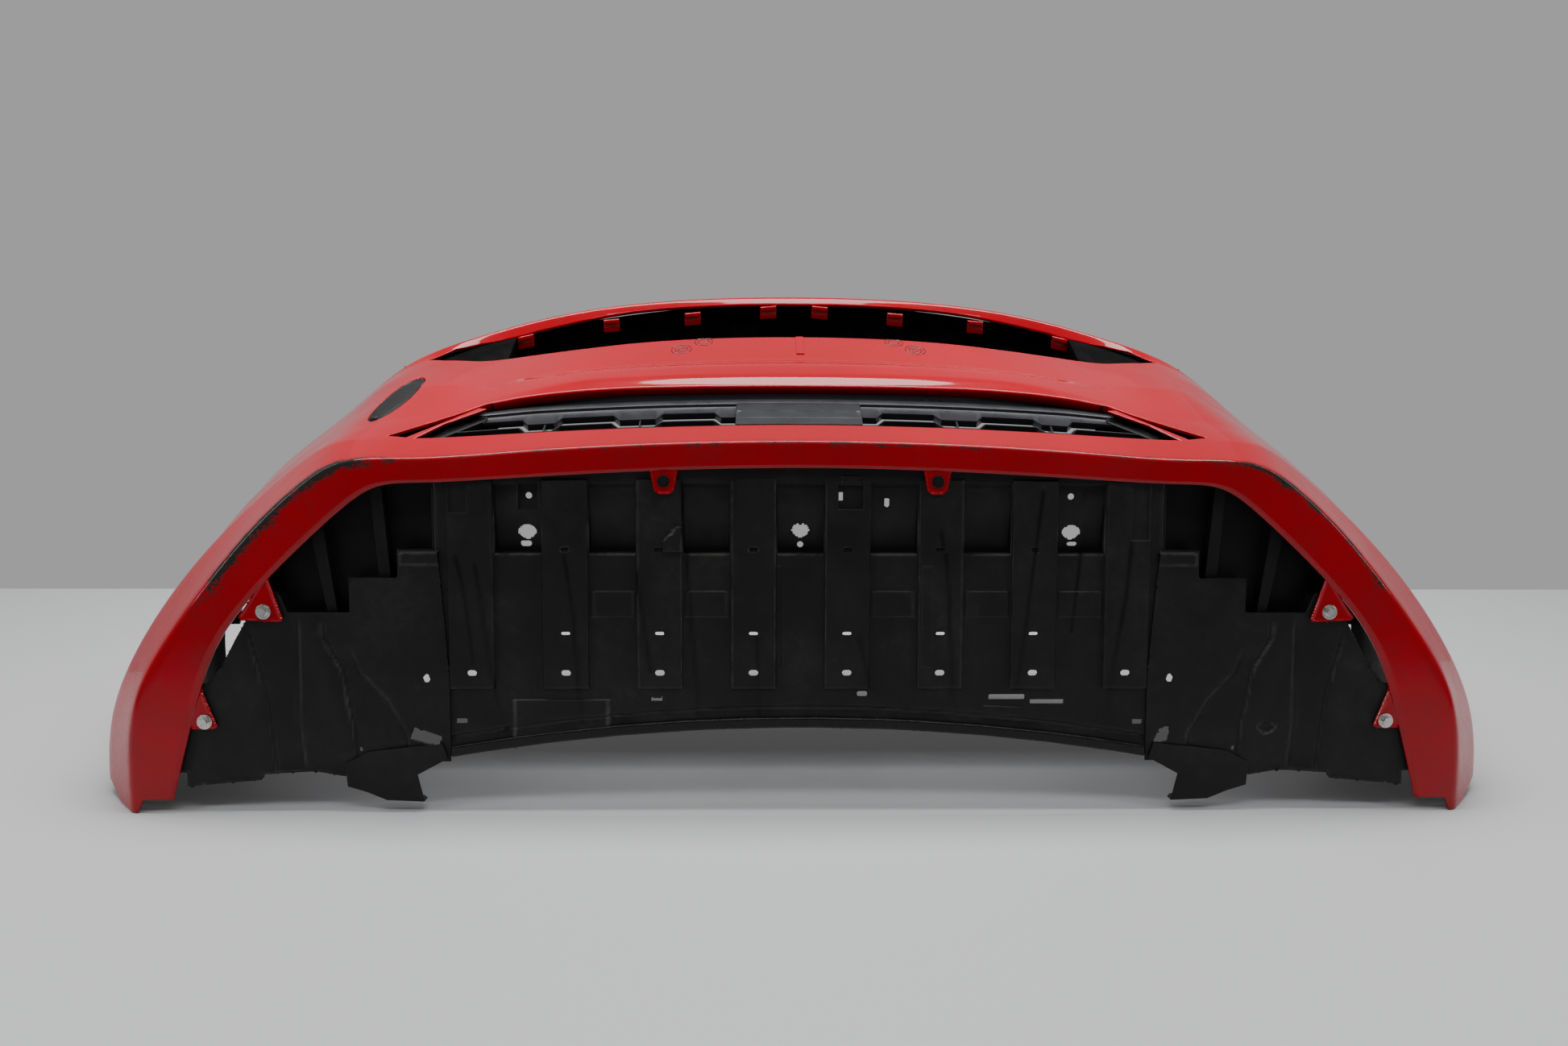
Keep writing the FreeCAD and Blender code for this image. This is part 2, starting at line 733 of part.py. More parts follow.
def undertray_side(side, label):
    """Flat side sheet from the centre sheet to the arm of the skin."""
    body = new_body("UndertraySide" + label)

    def draw_sheet(sketch):
        add_outline(sketch, mirrored(SIDE_OUTLINE, side))

    def draw_holes(sketch):
        for x, z in BOLT_PLACES:
            add_circle(sketch, side * x, z, size("bolt_hole"))
        add_circle(sketch, side * 529, 77, size("rear_screw_hole"))
        add_outline(sketch, mirrored([(443, 159), (453, 159), (450, 169), (446, 169)], side))
        window = [(436, 80), (470, 90), (464, 104), (430, 92)] if side < 0 else [(430, 84), (448, 86), (450, 104), (438, 102)]
        add_outline(sketch, mirrored(window, side))

    pad_back(body, "SideSheet" + label, size("side_face"), draw_sheet, "Params.tray_wall")
    ledge = mirrored([(424, 300), (478, 300), (478, 317), (426, 317)], side)
    pad_back(body, "Ledge" + label, size("side_face") - 2, lambda s: add_outline(s, ledge), 2)
    cut_back(body, "SideHoles" + label, -5, draw_holes, 30)
    return keep(body, "undertray_" + label, leaned=True)


DUCT_OUTER = [(436, 402), (436, 313), (475, 313), (475, 279), (533, 279), (533, 237), (614, 237), (624, 262),
              (652, 262), (655, 276), (612, 320), (582, 352), (550, 384), (524, 402)]
DUCT_INNER = [(439, 399), (439, 316), (478, 316), (478, 282), (536, 282), (536, 240), (612, 240), (622, 265),
              (646, 265), (648, 278), (610, 318), (580, 349), (548, 381), (522, 399)]
DUCT_RIBS = [[(500, 400), (514, 400), (504, 281), (490, 281)], [(572, 359), (586, 344), (566, 239), (554, 239)]]


def corner_duct(side, label):
    """Deep tray above the side sheet, open to the road, with two slanted walls."""
    body = new_body("CornerDuct" + label)
    rim = size("side_face") + size("tray_wall")
    pad_back(body, "DuctBlock" + label, rim, lambda s: add_outline(s, mirrored(DUCT_OUTER, side)), "Params.duct_depth")
    cut_back(body, "DuctHollow" + label, rim, lambda s: add_outline(s, mirrored(DUCT_INNER, side)),
             "Params.duct_depth - Params.tray_wall")

    def draw_ribs_inside(sketch):
        for rib in DUCT_RIBS:
            add_outline(sketch, mirrored(rib, side))

    pad_back(body, "DuctRibs" + label, rim + 5, draw_ribs_inside, "Params.duct_depth - 6")
    return keep(body, "corner_duct_" + label, leaned=True)


FOOT_OUTLINE = [(424, 66), (461, 46), (453, 13), (498, 15), (522, 25), (545, 32), (547, 60), (520, 74), (470, 80),
                (430, 84)]


def tray_foot(side, label):
    """Bracket that carries the rear corner of the undertray."""
    body = new_body("TrayFoot" + label)
    pad_back(body, "FootPlate" + label, 1.5, lambda s: add_outline(s, mirrored(FOOT_OUTLINE, side)), 3)
    rim = [(453, 13), (498, 15), (496, 19), (457, 17)]
    pad_back(body, "FootRim" + label, 1.5, lambda s: add_outline(s, mirrored(rim, side)), 16)
    return keep(body, "tray_foot_" + label, leaned=True)


def tray_edge_seal():
    """Rolled strip along the arched rear edge of the centre sheet."""
    body = new_body("TrayEdgeSeal")
    half = 420.0
    end = ARC_END + 1.5
    rise = 13

    def draw(sketch):
        add_bow(sketch, half, end, ARC_MIDDLE, half, end + rise, ARC_MIDDLE + rise)

    pad_back(body, "Seal", 1.5, draw, 6)
    return keep(body, "tray_edge_seal", leaned=True)


# ---------------------------------------------------------------- fixings
def fixing_places():
    return [(side * x, rise) for side in (1, -1) for x, rise in BOLT_PLACES]


def grouped(name, label, members):
    """Identical separate solids that share one node."""
    group = doc.addObject("Part::Compound", name)
    group.Links = members
    return keep(group, label)


def tray_bolts():
    bolts = []
    for number, (x, rise) in enumerate(fixing_places()):
        head = doc.addObject("Part::Prism", f"BoltHead{number}")
        head.Polygon = 6
        head.setExpression("Circumradius", "Params.bolt_hex / 0.866")
        head.Height = 4.6
        head.Placement = Placement(from_tray(x, -7.2, rise), Rotation(Vector(1, 0, 0), -90 - size("lean_angle")))
        flange = leaned_cylinder(f"BoltFlange{number}", x, rise, -2.7, 1.5, "Params.bolt_flange")
        shank = leaned_cylinder(f"BoltShank{number}", x, rise, -2.0, 20, "Params.bolt_shank")
        bolt = doc.addObject("Part::MultiFuse", f"Bolt{number}")
        bolt.Shapes = [head, flange, shank]
        bolts.append(bolt)
    return grouped("TrayBolts", "tray_bolts", bolts)


def bored(name, outer, x, rise, depth, length, radius_expression):
    """Solid with a round bore across the underside plane."""
    bore = leaned_cylinder(name + "Bore", x, rise, depth, length, radius_expression)
    cut = doc.addObject("Part::Cut", name)
    cut.Base = outer
    cut.Tool = bore
    return cut


def bolt_washers():
    washers = []
    for number, (x, rise) in enumerate(fixing_places()):
        disc = leaned_cylinder(f"WasherDisc{number}", x, rise, -size("washer_wall"), size("washer_wall"),
                               "Params.washer_outer")
        washers.append(bored(f"Washer{number}", disc, x, rise, -5, 10, "Params.bolt_hole"))
    return grouped("BoltWashers", "bolt_washers", washers)


def clip_nuts():
    """Sheet clip nuts behind the side sheets: a spring plate and a threaded barrel."""
    nuts = []
    back = size("side_face") + size("tray_wall")
    for number, (x, rise) in enumerate(fixing_places()):
        spring_plate = doc.addObject("Part::Box", f"NutPlate{number}")
        spring_plate.Length = 16
        spring_plate.Width = 1.2
        spring_plate.Height = 20
        turn = Rotation(Vector(1, 0, 0), -size("lean_angle"))
        spring_plate.Placement = Placement(from_tray(x - 8, back, rise - 10), turn)
        barrel = leaned_cylinder(f"NutBarrel{number}", x, rise, back + 0.6, 6, "Params.bolt_hex")
        joined = doc.addObject("Part::MultiFuse", f"NutBlank{number}")
        joined.Shapes = [spring_plate, barrel]
        nuts.append(bored(f"ClipNut{number}", joined, x, rise, 0, 20, "Params.bolt_shank + 0.05"))
    return grouped("ClipNuts", "clip_nuts", nuts)


def retainer_bodies():
    """Push-retainer bodies in the two centre tabs."""
    bodies = []
    for side in (1, -1):
        x, rise = side * RETAINER_PLACE[0], RETAINER_PLACE[1]
        head = leaned_cylinder(f"RetainerHead{side + 1}", x, rise, -2, 2, "Params.retainer_head")
        shank = leaned_cylinder(f"RetainerShank{side + 1}", x, rise, -1, 14, "Params.retainer_shank")
        joined = doc.addObject("Part::MultiFuse", f"RetainerBlank{side + 1}")
        joined.Shapes = [head, shank]
        bodies.append(bored(f"Retainer{side + 1}", joined, x, rise, -5, 30, "Params.pin_bore"))
    return grouped("RetainerBodies", "retainer_bodies", bodies)


def retainer_pin(side, label):
    """Centre pin that spreads a retainer; it pulls out towards the road."""
    x, rise = side * RETAINER_PLACE[0], RETAINER_PLACE[1]
    head = leaned_cylinder("PinHead" + label, x, rise, -3.3, 1.2, "Params.pin_head + 1.5")
    shank = leaned_cylinder("PinShank" + label, x, rise, -3.0, 18, "Params.pin_shank")
    pin = doc.addObject("Part::MultiFuse", "RetainerPin" + label)
    pin.Shapes = [head, shank]
    return keep(pin, "retainer_pin_" + label)


# ---------------------------------------------------------------- tow eye cover
def tow_eye_cover(shell):
    """Oval cap, flush with the skin, with the spring ring that snaps in behind it."""
    cap = doc.addObject("Part::Common", "TowCap")
    cap.Base = shell
    cap.Tool = tow_oval("TowBlank", 0, -30, 60)
    ring = doc.addObject("Part::Cut", "TowRing")
    ring.Base = tow_oval("TowRingOuter", 5, -13, 10)
    ring.Tool = tow_oval("TowRingInner", 7.5, -15, 15)
    cover = doc.addObject("Part::MultiFuse", "TowEyeCover")
    cover.Shapes = [cap, ring]
    return keep(cover, "tow_eye_cover")


def tow_hinge_clip(shell):
    """Clip behind the skin, beside the oval, that the cap's strap hooks into."""
    frame = tow_frame()
    block = doc.addObject("Part::Box", "ClipBlock")
    block.Length = 20
    block.Width = 9
    block.Height = 40
    block.Placement = Placement(frame.multVec(Vector(-10, 26, -30)), frame.Rotation)
    layer = feature("ClipLayer", shell.Shape)
    layer.Placement.Base = frame.Rotation.multVec(Vector(0, 0, -size("skin_wall") - 0.15))
    clip = doc.addObject("Part::Common", "TowHingeClip")
    clip.Base = layer
    clip.Tool = block
    return keep(clip, "tow_hinge_clip")


def check_document():
    """Stop on a failed object, or on a sub-part that is null or not valid."""
    for obj in doc.Objects:
        failed = [state for state in obj.State if state in ("Invalid", "Error")]
        assert not failed, f"{obj.Name} failed: {failed}"
    for part in SUB_PARTS:
        assert not part.Shape.isNull() and part.Shape.isValid(), part.Label + " is not a valid shape"


SIDES = ((1, "left"), (-1, "right"))

skin_blank = feature("SkinShell", skin_shell())
bumper_skin(skin_blank)
lower_grille()
grille_plate("GrilleCentre", "grille_centre_panel", [-74, 0, 74], 8, 92, 1.5, 3)
grille_plate("GrilleBlade", "grille_blade", grille_stations(), BLADE_LOW, BLADE_HIGH, BLADE_WALL, BLADE_WALL)
upper_carrier()
undertray_centre()
tray_edge_seal()
for side, label in SIDES:
    corner_trim(side, label)
    undertray_side(side, label)
    corner_duct(side, label)
    tray_foot(side, label)
    side_retainer(side, label)
    retainer_pin(side, label)
tray_bolts()
bolt_washers()
clip_nuts()
retainer_bodies()
tow_eye_cover(skin_blank)
tow_hinge_clip(skin_blank)

doc.recompute()
check_document()
os.makedirs("parts", exist_ok=True)
for part in SUB_PARTS:
    box = part.Shape.BoundBox
    print(f"{part.Label}: {len(part.Shape.Solids)} solid(s), {part.Shape.Volume / 1000:.1f} cm3, "
          f"y {box.YMin:.1f} to {box.YMax:.1f}, z {box.ZMin:.1f} to {box.ZMax:.1f}")
    part.Shape.exportStep(f"parts/{part.Label}.step")
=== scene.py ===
"""Visual model of the front bumper cover: painted skin, grille, undertray and fixings.

Lengths in the tables are millimetres, in the car frame: x across, y from the
underside towards the bonnet, z forward.  The tray frame is leaned back about X,
so that the underside is flat in it: x, rise and depth behind the lip flange.
"""
import math

import bmesh
import bpy
import numpy as np
from mathutils import Matrix, Vector
from mathutils.bvhtree import BVHTree


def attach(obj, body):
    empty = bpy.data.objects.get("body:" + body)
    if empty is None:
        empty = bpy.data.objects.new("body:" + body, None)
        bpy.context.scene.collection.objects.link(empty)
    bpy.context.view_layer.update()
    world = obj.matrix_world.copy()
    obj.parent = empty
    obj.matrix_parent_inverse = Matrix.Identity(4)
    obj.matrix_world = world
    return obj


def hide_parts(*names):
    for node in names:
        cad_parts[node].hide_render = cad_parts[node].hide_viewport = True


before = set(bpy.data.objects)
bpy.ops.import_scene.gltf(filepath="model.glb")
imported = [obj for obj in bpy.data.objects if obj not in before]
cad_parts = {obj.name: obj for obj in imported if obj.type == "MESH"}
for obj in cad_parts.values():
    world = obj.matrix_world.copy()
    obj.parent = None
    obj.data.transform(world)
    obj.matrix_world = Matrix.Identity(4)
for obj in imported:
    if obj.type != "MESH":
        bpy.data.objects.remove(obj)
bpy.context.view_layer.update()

MM = 0.001
HALF_DEPTH = 248.5
LEAN = math.radians(7.0)
SKIN_WALL = 2.7
# distances in metres within which vertices are merged
MERGE, WELD = 0.00003, 0.00002

# ---------------------------------------------------------------- camera, floor and light
SENSOR_WIDTH = 36.0
FOCAL = 26.97225077081192
CAMERA_PLACE = (-0.0435, -1.573, 0.632)
CAMERA_PITCH = math.radians(11.69)
CAMERA_YAW = 0.0172
CAMERA_ROLL = -0.00507


def make_camera():
    data = bpy.data.cameras.new("camera")
    data.sensor_width = SENSOR_WIDTH
    data.lens = FOCAL
    camera = bpy.data.objects.new("camera", data)
    level = Matrix.Rotation(math.pi / 2 - CAMERA_PITCH, 4, "X")
    turn = Matrix.Rotation(-CAMERA_YAW, 4, "Z")
    roll = Matrix.Rotation(-CAMERA_ROLL, 4, "Z")
    camera.matrix_world = Matrix.Translation(CAMERA_PLACE) @ turn @ level @ roll
    bpy.context.scene.collection.objects.link(camera)
    bpy.context.scene.camera = camera


# strength of the surroundings towards the viewer and towards the wall behind, and where it changes
ROOM_FRONT, ROOM_BACK = 0.13, 0.60
ROOM_FROM, ROOM_TO = -0.2, 0.7
ROOM_COLOUR = (0.63, 0.63, 0.64, 1)
FLOOR_SIDE, FLOOR_BACK = 12.0, 0.8
FLOOR_COLOUR, FLOOR_ROUGHNESS = (0.44, 0.445, 0.455, 1), 0.55
# name, place, target, size in metres and power in watts
LIGHTS = [
    ("ceiling", (0.0, 0.2, 2.6), (0, 0.1, 0), (3.2, 0.75), 128),
    ("ceiling_front", (0.0, -1.5, 2.9), (0, 0, 0.2), (2.6, 0.5), 24),
    ("back_wall", (0.0, 2.9, 2.9), (0, 0, 0.4), (5.0, 1.6), 3),
    ("left_wall", (-2.2, -0.9, 1.5), (0, 0, 0.3), (0.2, 1.6), 14),
    ("right_wall", (2.2, -0.9, 1.5), (0, 0, 0.3), (0.2, 1.6), 12),
]


def area_light(name, place, target, size, energy):
    data = bpy.data.lights.new(name, "AREA")
    data.shape = "RECTANGLE"
    data.size, data.size_y = size
    data.energy = energy
    light = bpy.data.objects.new(name, data)
    light.location = place
    aim = Vector(target) - Vector(place)
    light.rotation_euler = aim.to_track_quat("-Z", "Y").to_euler()
    bpy.context.scene.collection.objects.link(light)


def set_inputs(node, **values):
    """Constants on a node's own sockets; an underscore in a key stands for a space."""
    for key, value in values.items():
        node.inputs[key.replace("_", " ")].default_value = value


def make_room():
    """Pale floor that ends behind the object, a room that is lighter at the back, soft light from above."""
    near, far = -FLOOR_SIDE, FLOOR_BACK
    mesh = bpy.data.meshes.new("floor")
    corners = [(-FLOOR_SIDE, near, 0), (FLOOR_SIDE, near, 0), (FLOOR_SIDE, far, 0), (-FLOOR_SIDE, far, 0)]
    mesh.from_pydata(corners, [], [(0, 1, 2, 3)])
    floor = bpy.data.objects.new("floor", mesh)
    bpy.context.scene.collection.objects.link(floor)
    material = bpy.data.materials.new("floor")
    material.use_nodes = True
    shader = material.node_tree.nodes["Principled BSDF"]
    set_inputs(shader, Base_Color=FLOOR_COLOUR, Roughness=FLOOR_ROUGHNESS)
    mesh.materials.append(material)
    world = bpy.data.worlds.new("room")
    world.use_nodes = True
    nodes = world.node_tree.nodes
    links = world.node_tree.links
    direction = nodes.new("ShaderNodeTexCoord")
    split = nodes.new("ShaderNodeSeparateXYZ")
    strength = nodes.new("ShaderNodeMapRange")
    set_inputs(strength, From_Min=ROOM_FROM, From_Max=ROOM_TO, To_Min=ROOM_FRONT, To_Max=ROOM_BACK)
    background = nodes["Background"]
    set_inputs(background, Color=ROOM_COLOUR)
    links.new(direction.outputs["Generated"], split.inputs["Vector"])
    links.new(split.outputs["Y"], strength.inputs["Value"])
    links.new(strength.outputs["Result"], background.inputs["Strength"])
    bpy.context.scene.world = world
    for light in LIGHTS:
        area_light(*light)


# ---------------------------------------------------------------- materials
class Nodes:
    """Small helper that builds one node material; its methods return the output they made."""

    def __init__(self, name, **settings):
        self.material = bpy.data.materials.new(name)
        self.material.use_nodes = True
        self.tree = self.material.node_tree
        self.shader = self.tree.nodes["Principled BSDF"]
        set_inputs(self.shader, **settings)
        self.coords = self.new("ShaderNodeTexCoord").outputs["Object"]

    def new(self, kind, **settings):
        node = self.tree.nodes.new(kind)
        for key, value in settings.items():
            setattr(node, key, value)
        return node

    def join(self, source, target):
        self.tree.links.new(source, target)

    def feed(self, socket, value):
        """Links an output to a socket, or sets a number or a colour on it."""
        if isinstance(value, (int, float)):
            socket.default_value = value
        elif isinstance(value, tuple):
            socket.default_value = (*value, 1)
        else:
            self.join(value, socket)

    def noise(self, scale, detail=4.0, roughness=0.6, stretch=(1, 1, 1)):
        mapping = self.new("ShaderNodeMapping")
        set_inputs(mapping, Scale=stretch)
        self.join(self.coords, mapping.inputs["Vector"])
        noise = self.new("ShaderNodeTexNoise")
        set_inputs(noise, Scale=scale, Detail=detail, Roughness=roughness)
        self.join(mapping.outputs["Vector"], noise.inputs["Vector"])
        return noise.outputs["Fac"]

    def ramp(self, source, low, high, out_low=0.0, out_high=1.0):
        node = self.new("ShaderNodeMapRange", clamp=True, interpolation_type="SMOOTHSTEP")
        set_inputs(node, From_Min=low, From_Max=high, To_Min=out_low, To_Max=out_high)
        self.join(source, node.inputs["Value"])
        return node.outputs["Result"]

    def math(self, operation, first, second):
        node = self.new("ShaderNodeMath", operation=operation)
        self.feed(node.inputs[0], first)
        self.feed(node.inputs[1], second)
        return node.outputs["Value"]

    def plus(self, first, second):
        return self.math("ADD", first, second)

    def minus(self, first, second):
        return self.math("SUBTRACT", first, second)

    def times(self, first, second):
        return self.math("MULTIPLY", first, second)

    def mix(self, factor, first, second):
        node = self.new("ShaderNodeMix", data_type="RGBA")
        self.join(factor, node.inputs[0])
        self.feed(node.inputs[6], first)
        self.feed(node.inputs[7], second)
        return node.outputs[2]

    def attribute(self, name):
        return self.new("ShaderNodeAttribute", attribute_name=name).outputs["Fac"]

    def bump(self, height, strength, distance):
        node = self.new("ShaderNodeBump")
        set_inputs(node, Strength=strength, Distance=distance)
        self.join(height, node.inputs["Height"])
        self.join(node.outputs["Normal"], self.shader.inputs["Normal"])

    def colour(self, source):
        self.join(source, self.shader.inputs["Base Color"])

    def roughness(self, source):
        self.join(source, self.shader.inputs["Roughness"])


def red_paint():
    """Gloss paint over plastic, scuffed through along the lip and dusty underneath."""
    n = Nodes("red_paint", Coat_Weight=0.6, Coat_IOR=1.45, Coat_Roughness=0.045, Specular_IOR_Level=0.03)
    tone = n.ramp(n.noise(2.5, 3), 0.35, 0.65)
    paint = n.mix(tone, (0.34, 0.0003, 0.0080), (0.39, 0.0005, 0.0100))
    dust = n.times(n.attribute("dust"), n.ramp(n.noise(18, 6, 0.7), 0.35, 0.75, 0.2, 1.0))
    paint = n.mix(n.times(dust, 0.3), paint, (0.10, 0.020, 0.018))
    coarse = n.ramp(n.noise(34, 8, 0.8, (1, 2.2, 1)), 0.3, 0.7, -0.42, 0.34)
    fine = n.ramp(n.noise(420, 5, 0.7, (1, 3, 1)), 0.3, 0.7, -0.30, 0.26)
    scrape = n.plus(n.attribute("wear"), n.plus(coarse, fine))
    bare = n.ramp(scrape, 0.36, 0.52)
    n.colour(n.mix(bare, paint, (0.025, 0.024, 0.022)))
    rough = n.ramp(n.noise(35, 5), 0.3, 0.7, 0.22, 0.32)
    rough = n.plus(rough, n.times(n.plus(bare, dust), 0.4))
    n.roughness(rough)
    n.bump(n.minus(n.times(n.noise(140, 2), 0.02), bare), 0.3, 0.0004)
    return n.material


def mark_shadow_paint():
    """Darker paint of the small raised marks, as their painted shadow lines."""
    n = Nodes("mark_shadow_paint", Coat_Weight=0.4)
    n.colour(n.mix(n.ramp(n.noise(200, 4), 0.35, 0.65), (0.05, 0.0005, 0.002), (0.13, 0.001, 0.004)))
    n.roughness(n.ramp(n.noise(80, 4), 0.3, 0.7, 0.3, 0.5))
    return n.material


def raw_plastic():
    """Unpainted inner face with paint mist."""
    n = Nodes("raw_plastic")
    mist = n.ramp(n.noise(6, 5), 0.45, 0.75)
    n.colour(n.mix(mist, (0.028, 0.027, 0.027), (0.085, 0.02, 0.02)))
    n.roughness(n.ramp(n.noise(50, 4), 0.3, 0.7, 0.5, 0.7))
    n.bump(n.noise(900, 3), 0.15, 0.0003)
    return n.material


def tray_plastic():
    """Grained black plastic with road dust; ridges lighter from dust and painted highlight, deep pockets and
    dark, glossier stripes darkened as painted shade.
    """
    n = Nodes("tray_plastic", Specular_IOR_Level=0.28)
    patches = n.ramp(n.noise(9, 7, 0.7), 0.38, 0.72)
    fine = n.ramp(n.noise(75, 8, 0.8), 0.42, 0.75)
    dust = n.times(patches, n.plus(n.times(fine, 0.6), 0.25))
    # ridges lighter: partly road dust, partly painted highlight
    edge = n.times(n.attribute("edge"), n.ramp(n.noise(40, 6, 0.75), 0.35, 0.62))
    scratch = n.ramp(n.noise(30, 9, 0.8, (1, 0.35, 6)), 0.66, 0.72)
    dust = n.plus(n.times(dust, 0.30), n.times(edge, 0.9))
    fleck = n.ramp(n.noise(520, 3, 0.6), 0.70, 0.73)
    dust = n.plus(dust, n.times(scratch, 0.25))
    dust = n.plus(dust, n.times(fleck, n.ramp(n.noise(5, 4), 0.45, 0.65, 0.0, 0.9)))
    # painted shade: dark stripes along the channels, also less rough
    stripe_shade = n.times(n.attribute("shade_streak"), 0.85)
    dust = n.times(dust, n.minus(1.0, stripe_shade))
    colour = n.mix(dust, (0.0052, 0.0052, 0.0054), (0.075, 0.072, 0.066))
    # painted shade: the deeper pockets darkened towards black
    colour = n.mix(n.times(n.attribute("painted_pocket_shade"), 0.8), colour, (0.0012, 0.0012, 0.0013))
    n.colour(n.mix(stripe_shade, colour, (0.002, 0.002, 0.002)))
    rough = n.plus(n.ramp(n.noise(22, 5), 0.3, 0.7, 0.44, 0.60), n.times(dust, 0.35))
    n.roughness(n.minus(rough, n.times(stripe_shade, 0.18)))
    n.bump(n.noise(1100, 3), 0.22, 0.0003)
    return n.material


def satin_plastic(name, base, rough_low, rough_high):
    """Fine-grained trim plastic with a little dust."""
    n = Nodes(name, Specular_IOR_Level=0.25)
    dust = n.ramp(n.noise(30, 7, 0.75), 0.5, 0.8, 0.0, 0.35)
    n.colour(n.mix(dust, base, tuple(c + 0.014 for c in base)))
    n.roughness(n.ramp(n.noise(45, 5), 0.3, 0.7, rough_low, rough_high))
    n.bump(n.noise(1400, 2), 0.12, 0.0002)
    return n.material


def shadow_black():
    """Rough black plastic, darker than the trim as painted shade, of the parts that sit in shadow."""
    n = Nodes("shadow_black", Specular_IOR_Level=0.06)
    cloud = n.ramp(n.noise(25, 7, 0.7), 0.45, 0.75)
    n.colour(n.mix(cloud, (0.0016, 0.0016, 0.0018), (0.0055, 0.0054, 0.0050)))
    n.roughness(n.ramp(n.noise(60, 4), 0.3, 0.7, 0.75, 0.92))
    n.bump(n.noise(900, 3), 0.2, 0.0003)
    return n.material


def zinc_steel():
    """Plated steel of the bolts, washers and clip nuts, stained in patches."""
    n = Nodes("zinc_steel", Metallic=1.0)
    stain = n.ramp(n.noise(120, 6, 0.7), 0.5, 0.72)
    n.colour(n.mix(stain, (0.72, 0.72, 0.70), (0.42, 0.37, 0.30)))
    n.roughness(n.ramp(n.noise(260, 4), 0.3, 0.7, 0.22, 0.42))
    n.bump(n.noise(500, 4), 0.15, 0.0002)
    return n.material


# ---------------------------------------------------------------- mesh helpers
def row_frame(points):
    """Car-frame points in mm as row-frame points in metres."""
    points = np.asarray(points, float)
    return (points - np.array([0.0, HALF_DEPTH, 0.0])) * MM


def tray_points(x, rise, depth):
    """Row-frame points in metres of tray-frame places in mm."""
    y = rise * math.sin(LEAN) + depth * math.cos(LEAN)
    z = rise * math.cos(LEAN) - depth * math.sin(LEAN)
    return row_frame(np.stack(np.broadcast_arrays(x, y, z), axis=-1))


def new_piece(name, verts, faces, materials, body="cover", slot=None, smooth_angle=32.0):
    """Mesh object from arrays, with merged vertices, sharp edges by angle and its materials."""
    mesh = bpy.data.meshes.new(name)
    mesh.from_pydata([tuple(v) for v in verts], [], [tuple(f) for f in faces])
    bm = bmesh.new()
    bm.from_mesh(mesh)
    bmesh.ops.remove_doubles(bm, verts=bm.verts, dist=MERGE)
    bmesh.ops.dissolve_degenerate(bm, edges=bm.edges, dist=MERGE / 3)
    bm.to_mesh(mesh)
    bm.free()
    return add_object(name, mesh, materials, body, smooth_angle)


def add_object(name, mesh, materials, body="cover", smooth_angle=32.0):
    mesh.shade_smooth()
    mesh.set_sharp_from_angle(angle=math.radians(smooth_angle))
    for material in materials:
        mesh.materials.append(material)
    piece = bpy.data.objects.new(name, mesh)
    bpy.context.scene.collection.objects.link(piece)
    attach(piece, body)
    return piece


def solidify(piece, wall, offset=-1.0, inner_material=0):
    modifier = piece.modifiers.new("wall", "SOLIDIFY")
    modifier.thickness = wall * MM
    modifier.offset = offset
    modifier.use_even_offset = False
    modifier.material_offset = inner_material


def bevel(piece, width, segments=2, angle=35.0):
    modifier = piece.modifiers.new("edges", "BEVEL")
    modifier.width = width * MM
    modifier.segments = segments
    modifier.limit_method = "ANGLE"
    modifier.angle_limit = math.radians(angle)


def dressed(node, material, width, segments=2):
    """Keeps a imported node: its material goes in its slots, and modifiers round its edges."""
    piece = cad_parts[node]
    for place in piece.material_slots:
        place.link = "OBJECT"
        place.material = material
    weld = piece.modifiers.new("weld", "WELD")
    weld.merge_threshold = WELD
    flat = piece.modifiers.new("flat", "DECIMATE")
    flat.decimate_type = "DISSOLVE"
    flat.angle_limit = math.radians(1.0)
    bevel(piece, width, segments)
    normals = piece.modifiers.new("normals", "WEIGHTED_NORMAL")
    normals.keep_sharp = True


def grid_faces(rows, columns, start=0, flip=False):
    """Quads of a grid whose vertices are stored row by row."""
    index = start + np.arange(rows * columns).reshape(rows, columns)
    corners = [index[:-1, :-1], index[:-1, 1:], index[1:, 1:], index[1:, :-1]]
    quads = np.stack(corners, axis=-1).reshape(-1, 4)
    return quads[:, ::-1] if flip else quads


def sheet(name, rows, materials, flip=False, **settings):
    """Piece from a grid of row-frame points."""
    faces = grid_faces(*rows.shape[:2], flip=flip)
    return new_piece(name, rows.reshape(-1, 3), faces, materials, **settings)


def rectangle(x0, y0, x1, y1):
    return [(x0, y0), (x1, y0), (x1, y1), (x0, y1)]


def level_at(line, x):
    """Height of a line of (x, height) knots at x, the same on both sides."""
    return np.interp(np.abs(x), [knot[0] for knot in line], [knot[1] for knot in line])


def row_tree(mesh, matrix=None):
    """Search tree of a mesh, for rays."""
    bm = bmesh.new()
    bm.from_mesh(mesh)
    if matrix is not None:
        bmesh.ops.transform(bm, matrix=matrix, verts=bm.verts)
    tree = BVHTree.FromBMesh(bm)
    bm.free()
    return tree


def set_attribute(mesh, name, values):
    layer = mesh.attributes.new(name, "FLOAT", "POINT")
    layer.data.foreach_set("value", np.asarray(values, np.float32))


def vertex_places(mesh):
    places = np.empty(len(mesh.vertices) * 3)
    mesh.vertices.foreach_get("co", places)
    return places.reshape(-1, 3)


def distance_to_path(points, path):
    """Distance from each point to a polyline, both in the same plane or space."""
    points = np.asarray(points, float)
    path = np.asarray(path, float)
    best = np.full(len(points), 1e9)
    for start, end in zip(path[:-1], path[1:]):
        along = end - start
        share = np.clip(((points - start) @ along) / max(along @ along, 1e-12), 0, 1)
        best = np.minimum(best, np.linalg.norm(points - start - share[:, None] * along, axis=1))
    return best


def smooth_step(value, low, high):
    share = np.clip((np.asarray(value, float) - low) / (high - low), 0, 1)
    return share * share * (3 - 2 * share)


